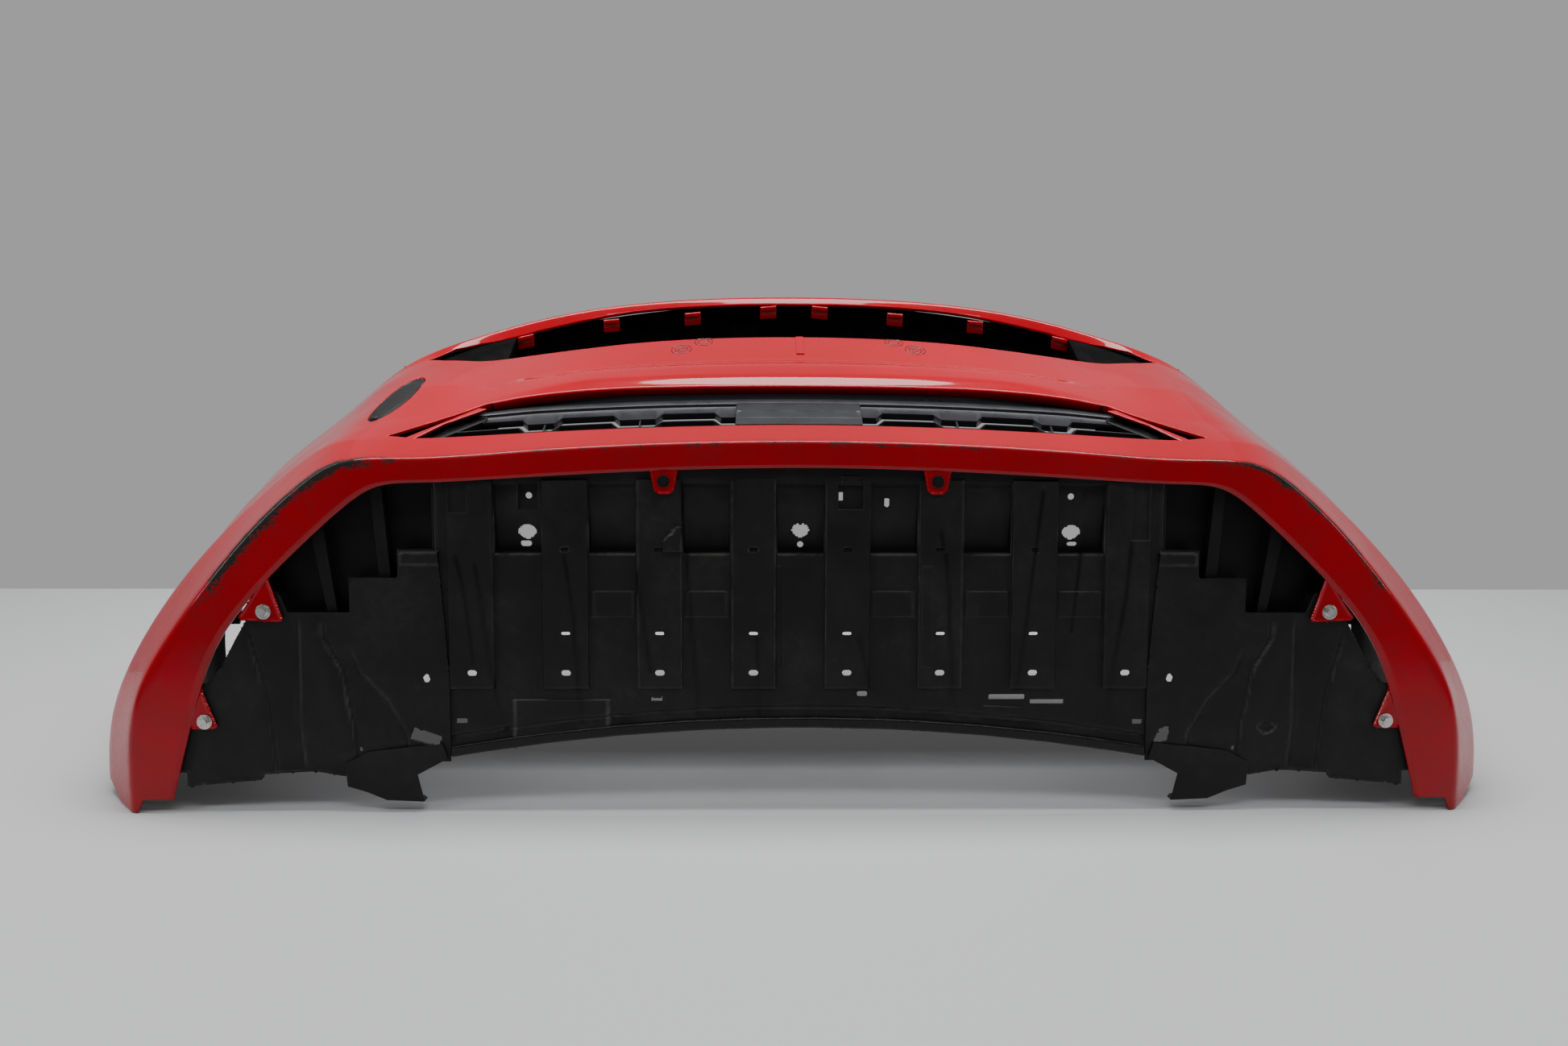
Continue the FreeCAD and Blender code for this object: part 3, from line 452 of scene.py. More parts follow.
# ---------------------------------------------------------------- painted skin
# Feature lines of the car's left half, from the centre of the nose to the end of
# the wheel arch.  The first two lie in the leaned underside, so they give x and z.
UNDERSIDE_LINES = [
    [(0, 414), (305, 403.5), (440, 396), (503, 390), (540, 367), (592, 321), (683, 221), (722, 130),
     (757, 0)],
    [(0, 445), (310, 434), (455, 424), (545, 418.5), (592, 392), (650, 339.5), (752, 213), (797, 120),
     (802, 0)],
]
UPPER_LINES = [
    [(0, 101, 459), (312, 100, 449), (458, 100, 441), (553, 112, 437), (604, 132, 418),
     (668, 140, 370), (783, 120, 250), (855, 90, 120), (862, 62, 0)],
    [(0, 200, 497), (300, 198, 489), (425, 178, 468), (540, 165, 452), (600, 178, 428),
     (662, 185, 382), (781, 170, 262), (856, 155, 125), (864, 140, 0)],
    [(0, 280, 525), (310, 280, 508), (445, 268, 492), (534, 260, 481), (617, 255, 433),
     (692, 255, 378), (800, 250, 265), (864, 245, 125), (870, 240, 0)],
    [(0, 360, 554), (310, 364, 535), (450, 375, 516), (562, 345, 492), (632, 335, 440),
     (712, 330, 378), (814, 325, 262), (868, 320, 125), (872, 318, 0)],
    [(0, 440, 594), (300, 440, 568), (462, 436, 532), (568, 400, 500), (646, 390, 441),
     (728, 380, 377), (824, 372, 260), (870, 366, 125), (870, 362, 0)],
    [(0, 452, 607), (305, 452, 587), (468, 450, 548), (574, 418, 503), (650, 404, 440),
     (734, 392, 374), (828, 384, 258), (868, 378, 125), (866, 374, 0)],
    [(0, 497, 604), (305, 494, 583), (462, 474, 543), (562, 430, 489), (636, 414, 428),
     (720, 402, 362), (813, 392, 250), (852, 386, 122), (850, 382, 0)],
]
FLANGE, LIP, CREST, ROOT, ROLL_LOW, ROLL_HIGH, BELT, SLOT_LOW, SLOT_HIGH, TOP = range(10)
# half length of the rounding at each line, at the nose and on the arm
ROUNDING = {
    LIP: (3.0, 6.0), CREST: (3.0, 5.0), ROOT: (5.0, 22.0), ROLL_LOW: (6.0, 11.0), ROLL_HIGH: (11.0, 11.0),
    BELT: (4.0, 16.0), SLOT_LOW: (10.0, 16.0), SLOT_HIGH: (4.0, 8.0), TOP: (4.5, 6.0),
}
# number of points inside each strip between two lines
STRIP_POINTS = [5, 6, 16, 2, 2, 2, 10, 13, 2, 6]
ROUND_POINTS = 5
# the roll over the lower opening: its height, and the places of its lines between root and belt
ROLL_BULGE, ROLL_FROM, ROLL_TO = 8.0, 0.24, 0.66
COLUMN_STEP = 0.26
# wheel-arch circle, height of the lowest edge, and the notch of the arch tip
ARCH_DEPTH, ARCH_DROP, ARCH_RADIUS = 215.0, 298.0, 350.0
ARM_START, ARM_FLOOR = 150.0, 0.6
NOTCH_DEPTH, NOTCH_FROM, NOTCH_TO, NOTCH_HEIGHT = 20.0, 748.0, 793.0, 16.0
# ends of the two openings
OPEN_END, SLOT_END = 506.0, 532.0


def spline_through(knots, values, at):
    """Natural cubic spline through values given at knots."""
    knots = np.asarray(knots, float)
    values = np.asarray(values, float)
    count = len(knots)
    step = np.diff(knots)
    system = np.eye(count)
    right = np.zeros_like(values)
    for i in range(1, count - 1):
        system[i, i - 1:i + 2] = step[i - 1], 2 * (step[i - 1] + step[i]), step[i]
        rise, fall = (values[i + 1] - values[i]) / step[i], (values[i] - values[i - 1]) / step[i - 1]
        right[i] = 6 * (rise - fall)
    second = np.linalg.solve(system, right)
    span = np.clip(np.searchsorted(knots, at, side="right") - 1, 0, count - 2)
    length = step[span][:, None]
    before = (knots[span + 1] - at)[:, None] / length
    after = 1 - before
    curve = before * values[span] + after * values[span + 1]
    bend = (before ** 3 - before) * second[span] + (after ** 3 - after) * second[span + 1]
    return curve + bend * length * length / 6


def feature_curves():
    """Every feature line of the left half, sampled at the same fine columns."""
    slope = math.tan(LEAN)
    lines = [[(x, z * slope, z) for x, z in line] for line in UNDERSIDE_LINES] + UPPER_LINES
    lines = [np.array(line, float) for line in lines]
    whole = [np.concatenate([line[:0:-1] * (-1, 1, 1), line]) for line in lines]
    chords = np.linalg.norm(np.diff(whole[LIP], axis=0), axis=1)
    knots = np.concatenate([[0], np.cumsum(np.sqrt(chords))])
    middle = knots[len(knots) // 2]
    count = int((knots[-1] - middle) / COLUMN_STEP)
    at = np.linspace(middle, knots[-1], count)
    curves = [spline_through(knots, line, at) for line in whole]
    for curve in curves:
        curve[0, 0] = 0.0
    return with_roll(curves)


def with_roll(curves):
    """Two more lines between root and belt, that round the surface over the lower opening."""
    root = curves[ROOT]
    across = curves[ROOT + 1] - root
    along = np.gradient(root, axis=0)
    outward = np.cross(along, across)
    outward /= np.linalg.norm(outward, axis=1)[:, None]
    bulge = ROLL_BULGE * (1 - smooth_step(np.abs(root[:, 0]), 250, 440))[:, None]
    low = root + across * ROLL_FROM + outward * bulge * 0.85
    high = root + across * ROLL_TO + outward * bulge
    return curves[:ROOT + 1] + [low, high] + curves[ROOT + 1:]


def rounded_profiles(curves):
    """Rows of points over all columns, with each feature line rounded off."""
    count = len(curves[0])
    arm = smooth_step(np.abs(curves[LIP][:, 0]), 520, 640)
    steps = [curves[k + 1] - curves[k] for k in range(len(curves) - 1)]
    lengths = [np.linalg.norm(step, axis=1) for step in steps]
    units = [step / length[:, None] for step, length in zip(steps, lengths)]
    rows = [curves[0]]
    owner = [FLANGE]
    leave = curves[0]
    for k in range(1, len(curves)):
        if k < len(curves) - 1:
            nose, side = ROUNDING[k]
            most = 0.45 * np.minimum(lengths[k - 1], lengths[k])
            cut = np.minimum(nose + (side - nose) * arm, most)[:, None]
            arrive = curves[k] - units[k - 1] * cut
            depart = curves[k] + units[k] * cut
        else:
            arrive = curves[k]
        inside = STRIP_POINTS[k - 1]
        for i in range(1, inside + 1):
            rows.append(leave + (arrive - leave) * (i / (inside + 1)))
            owner.append(k - 1)
        if k == len(curves) - 1:
            rows.append(arrive)
            owner.append(k)
            break
        for i in range(ROUND_POINTS):
            u = i / (ROUND_POINTS - 1)
            rows.append((1 - u) ** 2 * arrive + 2 * u * (1 - u) * curves[k] + u * u * depart)
            owner.append(k)
        leave = depart
    return np.array(rows).reshape(len(rows), count, 3), np.array(owner)


# lower and upper edge of the two openings, as y at x
OPEN_LOW = [(0, 103), (470, 103), (OPEN_END, 112)]
OPEN_HIGH = [(0, 199), (219, 199), (365, 195), (402, 190), (455, 150), (OPEN_END, 112)]
SLOT_FOOT = [(0, 361), (290, 363), (330, 366), (380, 373), (450, 378), (505, 392), (SLOT_END, 408)]
SLOT_HEAD = [(0, 442), (300, 443), (380, 445.5), (426, 444), (462, 440.5), (500, 431), (SLOT_END, 409)]


def travel(rows):
    """Distance along each column's profile, for every row."""
    step = np.linalg.norm(np.diff(rows, axis=0), axis=2)
    return np.concatenate([np.zeros((1, rows.shape[1])), np.cumsum(step, axis=0)])


def along_profiles(rows, run, target):
    """Points of every column at the target distances along its profile."""
    out = np.empty((len(target), rows.shape[1], 3))
    for column in range(rows.shape[1]):
        for axis in range(3):
            out[:, column, axis] = np.interp(target[:, column], run[:, column], rows[:, column, axis])
    return out


def gap_ends(rows, run, foot, head, end, first_row, last_row):
    """Where each column's profile enters and leaves an opening, as distances, and the last open column."""
    count = rows.shape[1]
    low = np.full(count, np.nan)
    high = np.full(count, np.nan)
    for column in range(count):
        fine = np.linspace(run[first_row, column], run[last_row, column], 900)
        x = np.interp(fine, run[:, column], rows[:, column, 0])
        y = np.interp(fine, run[:, column], rows[:, column, 1])
        inside = np.nonzero((x < end) & (y > level_at(foot, x)) & (y < level_at(head, x)))[0]
        if len(inside) > 1:
            low[column] = fine[inside[0]]
            high[column] = fine[inside[-1]]
    last = np.nonzero(~np.isnan(low))[0][-1]
    first, length = run[first_row], run[last_row] - run[first_row]
    share = (0.5 * (low[last] + high[last]) - first[last]) / length[last]
    closed = np.arange(count) > last
    meeting = first + share * length
    low[closed] = meeting[closed]
    high[closed] = meeting[closed]
    return low, high, last


def rolled_edge(edge, neighbour, last, radius, depth, sense):
    """Rows that turn the skin inwards around an opening, up to column last."""
    along = np.gradient(edge, axis=0)
    across = edge - neighbour
    normal = unit_rows(np.cross(along, across) * sense)
    into = np.cross(along, normal)
    into = unit_rows(into * np.sign(np.sum(into * across, axis=1))[:, None])
    radius = radius[:, None]
    rows = [edge]
    for turn in np.radians(np.arange(15, 91, 15)):
        rows.append(edge + into * radius * math.sin(turn) - normal * radius * (1 - math.cos(turn)))
    rows.append(edge + into * radius - normal * (radius + depth[:, None]))
    return np.array(rows)[:, :last + 1]


def unit_rows(vectors):
    return vectors / np.maximum(np.linalg.norm(vectors, axis=1), 1e-9)[:, None]


def trim_arm(rows):
    """Ends every row on the wheel-arch circle, or on the notch of the arch tip."""
    start = int(np.argmax(rows[0, :, 2] < ARM_START))
    for row in rows:
        tail = row[start:]
        x, y, z = tail.T
        circle = ARCH_RADIUS ** 2 - (y - ARCH_DEPTH) ** 2
        floor = np.maximum(np.sqrt(np.maximum(circle, 0)) - ARCH_DROP, ARM_FLOOR)
        notch = (y < NOTCH_DEPTH) & (x < NOTCH_TO) & (x > NOTCH_FROM)
        above = z - np.where(notch, NOTCH_HEIGHT, floor)
        below = np.nonzero(above < 0)[0]
        if len(below) == 0:
            continue
        k = below[0]
        end = k - 1 + above[k - 1] / (above[k - 1] - above[k])
        places = np.linspace(0, end, len(tail))
        row[start:] = np.stack([np.interp(places, np.arange(len(tail)), line) for line in tail.T], axis=1)
    return rows


def taper(x, last_x, full, small, start):
    """Size that shrinks from full to small between start and the end of an opening."""
    return full + (small - full) * smooth_step(np.abs(x), start, last_x)


def skin_patches():
    """Grids of the left half between the openings, and their rolled edges, each with its facing."""
    rows, owner = rounded_profiles(feature_curves())
    run = travel(rows)

    def row_of(line, place):
        return int(np.nonzero(owner == line)[0][place])

    first = row_of(CREST, 2)
    open_rows = first, row_of(ROOT, -1)
    slot_rows = row_of(SLOT_LOW, 0), row_of(TOP, 0)
    x = rows[first, :, 0]
    open_low, open_high, open_last = gap_ends(rows, run, OPEN_LOW, OPEN_HIGH, OPEN_END, *open_rows)
    slot_low, slot_high, slot_last = gap_ends(rows, run, SLOT_FOOT, SLOT_HEAD, SLOT_END, *slot_rows)
    # edge, side on which the skin lies, last open column, end of the opening, where its taper starts,
    # and the radius and depth of the rolled edge at the nose and at the end
    edges = []
    for distance, sense, last, end, start, radius, depth, depth_from in (
            (open_low, 1, open_last, OPEN_END, 430, (3.0, 0.8), (12, 3), 400),
            (open_high, -1, open_last, OPEN_END, 380, (3.5, 1.0), (9, 3), 380),
            (slot_low, 1, slot_last, SLOT_END, 420, (7.0, 1.0), (14, 3), 420),
            (slot_high, -1, slot_last, SLOT_END, 420, (2.0, 0.8), (3, 1), 420)):
        turn = taper(x, end, *radius, start) * (np.arange(len(x)) <= last)
        place = distance - sense * turn
        edge, neighbour = along_profiles(rows, run, np.array([place, place - 3 * sense]))
        roll = rolled_edge(edge, neighbour, last, turn, taper(x, end, *depth, depth_from), sense)
        edges.append((place, roll, sense))
    below, above, foot, head = [place for place, _, _ in edges]
    lower = along_profiles(rows, run, np.minimum(run, below))[:row_of(CREST, -1) + 9]
    middle = along_profiles(rows, run, np.minimum(np.maximum(run, above), foot))
    middle = middle[first:row_of(SLOT_HIGH, 2) + 1]
    upper = along_profiles(rows, run, np.maximum(run, head))[row_of(SLOT_LOW, 2):]
    patches = [(trim_arm(grid), False) for grid in (lower, middle, upper)]
    return patches + [(roll, sense < 0) for _, roll, sense in edges]


def build_skin(paint, inside):
    verts, faces = [], []
    patches = skin_patches()
    start = 0
    for side in (1, -1):
        for grid, flip in patches:
            verts.append(row_frame(grid.reshape(-1, 3) * (side, 1, 1)))
            faces.append(grid_faces(*grid.shape[:2], start, flip == (side > 0)))
            start += len(verts[-1])
    piece = new_piece("skin", np.concatenate(verts), np.concatenate(faces), [paint, inside], slot="paint",
                      smooth_angle=42)
    cut_tow_hole(piece.data)
    add_skin_masks(piece.data)
    solidify(piece, SKIN_WALL, inner_material=1)
    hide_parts("bumper_skin")
    return piece


TOW_CENTRE = row_frame((-530, 241, 476))
TOW_NORMAL = Vector((-0.25, -0.28, 0.93)).normalized()
TOW_LONG = Vector((0.17, 0.94, 0.29))
TOW_LONG = (TOW_LONG - TOW_NORMAL * TOW_LONG.dot(TOW_NORMAL)).normalized()
TOW_SHORT = TOW_NORMAL.cross(TOW_LONG)
TOW_HALF_LENGTH, TOW_HALF_WIDTH, TOW_GAP = 73.0, 23.5, 0.8
TOW_REACH = 25.0


def tow_plane(places):
    """Long, short and outward coordinates of points in the tow cover's own frame, in mm."""
    basis = np.array([TOW_LONG, TOW_SHORT, TOW_NORMAL])
    return (places - TOW_CENTRE) @ basis.T / MM


def cut_tow_hole(mesh):
    """Removes the faces inside the oval and draws the rest of its rim onto the oval."""
    places = vertex_places(mesh)
    local = tow_plane(places)
    a, b = TOW_HALF_LENGTH + TOW_GAP, TOW_HALF_WIDTH + TOW_GAP
    size = np.sqrt((local[:, 0] / a) ** 2 + (local[:, 1] / b) ** 2)
    near = np.abs(local[:, 2]) < TOW_REACH
    inside = (size < 1) & near
    bm = bmesh.new()
    bm.from_mesh(mesh)
    bm.verts.ensure_lookup_table()
    doomed = [f for f in bm.faces if all(inside[v.index] for v in f.verts)]
    bmesh.ops.delete(bm, geom=doomed, context="FACES")
    bm.verts.ensure_lookup_table()
    basis = Matrix((TOW_LONG, TOW_SHORT, TOW_NORMAL))
    for vert in bm.verts:
        if not vert.is_boundary:
            continue
        place = basis @ (vert.co - Vector(TOW_CENTRE)) / MM
        share = math.hypot(place.x / a, place.y / b)
        if abs(place.z) < TOW_REACH and 0.3 < share < 1.0:
            place.x /= share
            place.y /= share
            vert.co = basis.transposed() @ (place * MM) + Vector(TOW_CENTRE)
    bm.to_mesh(mesh)
    bm.free()


# scuffs at the corner of the lip, on the right and the left side: strength and width; and along the nose
CORNER_WEAR = {-1: (0.95, 9.0), 1: (0.8, 5.0)}
NOSE_WEAR = (0.42, 3.0)


def add_skin_masks(mesh):
    """Where the paint is scuffed and where dust lies."""
    places = vertex_places(mesh)
    x = np.abs(places[:, 0])
    lip = row_frame([(x, z * math.tan(LEAN), z) for x, z in UNDERSIDE_LINES[1]])
    corner = smooth_step(x, 0.46, 0.54) * (1 - smooth_step(x, 0.66, 0.75))
    wear = np.zeros(len(places))
    for side in (1, -1):
        line = lip * (side, 1, 1)
        worn = ((line[2:7], corner, CORNER_WEAR[side]), (line[:4], 1, NOSE_WEAR))
        for path, along, (strength, width) in worn:
            reach = distance_to_path(places, path) / MM
            wear = np.maximum(wear, strength * along * np.exp(-(reach / width) ** 2))
    set_attribute(mesh, "wear", wear)
    rise = (places[:, 1] + HALF_DEPTH * MM) - places[:, 2] * math.tan(LEAN)
    set_attribute(mesh, "dust", 1 - smooth_step(rise, 0.0, 0.012))


# ---------------------------------------------------------------- pressed sheets
def polygon_distance(x, t, outline):
    """Signed distance to a polygon, positive inside."""
    outline = np.asarray(outline, float)
    nearest = np.full(x.shape, 1e9)
    inside = np.zeros(x.shape, bool)
    for (xa, ta), (xb, tb) in zip(outline, np.roll(outline, -1, axis=0)):
        dx, dt = xb - xa, tb - ta
        k = np.clip(((x - xa) * dx + (t - ta) * dt) / max(dx * dx + dt * dt, 1e-9), 0, 1)
        nearest = np.minimum(nearest, np.hypot(x - xa - k * dx, t - ta - k * dt))
        crosses = (ta > t) != (tb > t)
        with np.errstate(divide="ignore", invalid="ignore"):
            where = (xb - xa) * (t - ta) / (tb - ta) + xa
        inside ^= crosses & (x < where)
    return np.where(inside, nearest, -nearest)


def round_hole(cx, ct, radius):
    return lambda x, t: np.hypot(x - cx, t - ct) - radius


def slot_hole(cx, ct, length, height):
    r = height / 2
    half = length / 2 - r
    return lambda x, t: np.hypot(np.maximum(np.abs(x - cx) - half, 0), t - ct) - r


def cut_hole(outline):
    return lambda x, t: -polygon_distance(x, t, outline)


def pressed_sheet(name, xs, ts, depth, solid, holes, wall, material, node=None):
    """Sheet in the tray frame: a grid lifted by depth, trimmed to solid and pierced by holes."""
    x_grid, t_grid = np.meshgrid(np.unique(np.round(xs, 2)), np.unique(np.round(ts, 2)))

    def kept(x, t):
        value = solid(x, t)
        for hole in holes:
            value = np.minimum(value, hole(x, t))
        return value

    dx = np.gradient(x_grid, axis=1)
    dt = np.gradient(t_grid, axis=0)
    for _ in range(2):
        away = kept(x_grid, t_grid)
        slope_x = (kept(x_grid + 0.05, t_grid) - kept(x_grid - 0.05, t_grid)) / 0.1
        slope_t = (kept(x_grid, t_grid + 0.05) - kept(x_grid, t_grid - 0.05)) / 0.1
        reach = 0.52 * (np.abs(slope_x) * np.abs(dx) + np.abs(slope_t) * np.abs(dt))
        snap = np.abs(away) < reach
        x_grid = np.where(snap, x_grid - away * slope_x, x_grid)
        t_grid = np.where(snap, t_grid - away * slope_t, t_grid)
    good = (kept(x_grid, t_grid) > -0.25).reshape(-1)
    level = depth(x_grid, t_grid)
    verts = tray_points(x_grid, t_grid, level).reshape(-1, 3)
    faces = [[v for v in quad if good[v]] for quad in grid_faces(*x_grid.shape)]
    mesh = bpy.data.meshes.new(name)
    mesh.from_pydata([tuple(v) for v in verts], [], [face for face in faces if len(face) >= 3])
    around = 0.25 * sum(np.roll(level, shift, axis) for axis in (0, 1) for shift in (1, -1))
    # how far a point stands out from its neighbours: lighter ridges, partly dust and partly painted highlight
    set_attribute(mesh, "edge", np.clip((around - level) * 1.5 - 0.1, 0, 1).reshape(-1))
    # painted shade of the pockets, growing with their depth
    set_attribute(mesh, "painted_pocket_shade", smooth_step(level, 9, 20).reshape(-1))
    # stripes of painted shade along the channels
    shade_streak = np.zeros(x_grid.size)
    flat = np.stack([x_grid.reshape(-1), t_grid.reshape(-1)], axis=1)
    for path, width in SHADE_STREAKS:
        shade_streak = np.maximum(shade_streak, np.exp(-(distance_to_path(flat, path) / width) ** 2))
    set_attribute(mesh, "shade_streak", shade_streak)
    bm = bmesh.new()
    bm.from_mesh(mesh)
    bmesh.ops.delete(bm, geom=[v for v in bm.verts if not v.link_faces], context="VERTS")
    bm.to_mesh(mesh)
    bm.free()
    piece = add_object(name, mesh, [material], smooth_angle=28)
    solidify(piece, wall)
    if node:
        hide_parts(node)
    return piece


# dark, glossier stripes of painted shade on the undertray: places in the tray frame and half width, mm
SHADE_STREAKS = [
    ([(-411, 312), (-402, 270), (-392, 182)], 2.4),
    ([(-388, 300), (-376, 210), (-366, 140), (-354, 100)], 2.4),
    ([(-282, 312), (-272, 240), (-268, 160), (-262, 110)], 2.6),
    ([(-196, 288), (-186, 218), (-180, 172)], 2.2),
    ([(-142, 400), (-136, 300), (-130, 214), (-122, 120)], 2.6),
    ([(-52, 212), (-50, 120)], 2.0),
    ([(70, 212), (76, 190), (86, 148)], 2.2),
    ([(168, 340), (176, 300), (182, 200), (186, 130)], 2.4),
    ([(290, 388), (280, 300), (270, 210), (262, 150)], 2.4),
    ([(398, 330), (392, 260), (378, 170), (372, 110)], 2.6),
    ([(342, 392), (336, 300), (328, 220)], 2.0),
]
RIB_PITCH = 112.5
RECESS_WIDTH = 57.0
# arched rear edge of the centre sheet: half width, height at its ends and in the middle
REAR_ARC = (427, 66, 103)
# straight holes of the centre sheet: middle, length and height
STRAIGHT_HOLES = [
    (-173, 138, 13, 6), (75, 144, 13, 6), (-408, 111, 12, 6), (411, 109, 12, 6),
    (251, 140, 42, 6), (300, 134, 40, 5.5), (48, 383, 5, 10), (103, 375, 5, 10),
]
TOOL_HOLES = [(0, 341), (-328, 339), (328, 339)]
# small pits and raised patches of the centre sheet: outline in the tray frame, added depth
PITS = [
    (rectangle(44, 367, 75, 397), 4.0), (rectangle(48, 397, 72, 408), -1.6),
    ([(-165, 330), (-148, 348), (-140, 348), (-140, 316), (-165, 316)], -5.5),
    (rectangle(-420, 362, -396, 404), 2.2), (rectangle(396, 330, 420, 404), 2.2),
    (rectangle(-338, 366, -312, 400), 3.5), ([(222, 112), (270, 108), (270, 128), (222, 130)], -1.6),
    (rectangle(-36, 176, -20, 300), 0.8), (rectangle(146, 176, 160, 300), 0.8),
]
# front edge of the centre sheet
FRONT_EDGE = [(0, 425), (185, 421), (312, 414), (435, 406)]


def spread(low, high, step):
    return np.linspace(low, high, int((high - low) / step) + 2)


def centre_depth(x, t):
    """Depth of the centre sheet: ribs stand out, boxes go in deeper towards their lower end."""
    fold = 1.6
    nearest = np.round(x / RIB_PITCH) * RIB_PITCH
    off = np.abs(x - nearest)
    half = RECESS_WIDTH / 2
    rib = smooth_step(off, half, half + fold) * smooth_step(t, 148, 152)
    rib = rib * (1 - smooth_step(np.abs(x), 425, 428)) * (1 - smooth_step(t, 401, 404))
    depth = 7.6 - 3.4 * rib
    boxes = (np.abs(nearest) < 3.5 * RIB_PITCH) * (1 - smooth_step(off, half - fold, half))
    boxes = boxes * smooth_step(t, 314, 316) * (1 - smooth_step(t, 396, 399))
    floor = 4.0 + 10.5 * (1 - smooth_step(t, 318, 385))
    depth = depth + boxes * floor
    for k in (-2, -1, 1, 2, 3):
        panel = (1 - smooth_step(np.abs(x - k * RIB_PITCH), half - 3, half - 1.5))
        depth = depth - 0.9 * panel * smooth_step(t, 237, 238.5) * (1 - smooth_step(t, 268, 269.5))
    for k in range(-4, 4):
        away = np.hypot(np.maximum(np.abs(x - (k + 0.5) * RIB_PITCH) - 3, 0), t - 319)
        depth = depth + 3.0 * (1 - smooth_step(away, 1.6, 2.8)) * (abs(k + 0.5) < 3.4)
    band = t - arc_rise(x, *REAR_ARC)
    depth = depth + 1.5 * np.exp(-((band - 25) / 1.8) ** 2) - 1.6 * (1 - smooth_step(band, 14, 23))
    for outline, extra in PITS:
        depth = depth + extra * smooth_step(polygon_distance(x, t, outline), 0.0, 1.8)
    pad = smooth_step(x, -347, -345) * (1 - smooth_step(x, -230, -228)) * (1 - smooth_step(t, 136, 138))
    return depth - 2.2 * pad


def arc_rise(x, half, end, middle):
    return end + (middle - end) * (1 - (x / half) ** 2)


def build_centre_tray(material):
    holes = []
    xs = list(spread(-435, 435, 4.0))
    ts = list(spread(60, 426, 4.0))
    for k in range(-4, 4):
        x = (k + 0.5) * RIB_PITCH
        holes.append(slot_hole(x, 170, 11.5, 7.0))
        if abs(x) < 350:
            holes.append(slot_hole(x, 218, 11.0, 4.0))
        xs += list(spread(x - 7, x + 7, 1.4))
    for x, t in TOOL_HOLES:
        ring = [(x + 11.5 * math.cos(a) * (1 if math.sin(a) > -0.5 else 0.75), t + 9.5 * math.sin(a))
                for a in np.radians(np.arange(15, 375, 30))]
        holes.append(cut_hole(ring))
        xs += list(spread(x - 12, x + 12, 1.6))
    holes += [round_hole(0, 324, 3.8), slot_hole(-330, 325, 14, 6.5), slot_hole(330, 325, 12, 5),
              round_hole(-325, 383, 4), round_hole(325, 383, 4)]
    for x, t, length, height in STRAIGHT_HOLES:
        left, right, low, high = x - length / 2, x + length / 2, t - height / 2, t + height / 2
        holes.append(cut_hole(rectangle(left, low, right, high)))
        xs += list(spread(left - 1, right + 1, 1.8))
        ts += list(spread(low - 1, high + 1, 1.5))
    for side in (1, -1):
        holes.append(round_hole(side * 163, 401, 4.2))
        xs += list(spread(side * 163 - 6, side * 163 + 6, 1.6))
        for k in range(-4, 5):
            edge = k * RIB_PITCH + side * RECESS_WIDTH / 2
            if abs(edge) < 433:
                xs += [edge - 1.6, edge - 0.8, edge, edge + 0.8, edge + 1.6]
    for outline, _ in PITS:
        for x, t in outline:
            xs += [x - 1.2, x, x + 1.2]
            ts += [t - 1.2, t, t + 1.2]
    # finer rows where holes, box ends and panel edges lie
    for low, high, step in ((165, 175, 1.2), (214, 222, 1.0), (315, 321, 1.0), (329, 352, 1.6),
                            (320, 329, 1.5), (378, 388, 1.4), (395, 407, 1.6), (62, 132, 1.8)):
        ts += list(spread(low, high, step))
    ts += [314, 314.7, 315.4, 316, 396, 397.5, 399, 148, 150, 152, 237, 238.5, 268, 269.5, 136, 138]

    def solid(x, t):
        value = np.minimum(level_at(FRONT_EDGE, x) - t, t - arc_rise(x, *REAR_ARC) - 1.0)
        side = np.interp(t, [66, 170, 314], [427, 428, 435])
        return np.minimum(value, side - np.abs(x))

    pressed_sheet("centre_tray", xs, ts, centre_depth, solid, holes, 2.4, material, "undertray_centre")


# ---------------------------------------------------------------- side sheets
SIDE_OUTLINE = [(421, 62), (421, 170), (433, 319), (480, 319), (480, 285), (538, 285), (538, 243), (612, 243),
                (622, 268), (650, 268), (660, 236), (692, 178), (708, 158), (727, 155), (727, 140), (742, 102),
                (757, 92), (759, 49), (737, 49), (737, 32), (650, 39.5), (644, 47), (583, 50), (548, 44),
                (530, 62)]
# moulded lines of the side sheets: path in the tray frame, with the height of the step to its outer side
SIDE_FOLDS = [
    ([(662, 232), (640, 146), (629, 38)], 1.8), ([(600, 243), (602, 106), (596, 46)], -1.4),
    ([(571, 243), (571, 214), (549, 175), (536, 106), (534, 60)], 2.2),
    ([(540, 205), (528, 170), (497, 136), (474, 96), (470, 60)], -1.6),
]
LEDGE = [(424, 300), (478, 300), (478, 317), (426, 317)]
# round dimple of the left sheet, and the screw holes of both: place and radius
DIMPLE = (568.6, 102.6)
SCREW_HOLES = [(638, 245, 3.4), (712, 112, 3.4), (529, 77, 2.75)]


def side_of_path(x, t, path):
    """Distance to a path, positive on its outer side."""
    flat = np.stack([x.reshape(-1), t.reshape(-1)], axis=1)
    reach = distance_to_path(flat, path).reshape(x.shape)
    path = np.asarray(path, float)
    across = np.interp(t, path[::-1, 1], path[::-1, 0])
    return np.where(x > across, reach, -reach)


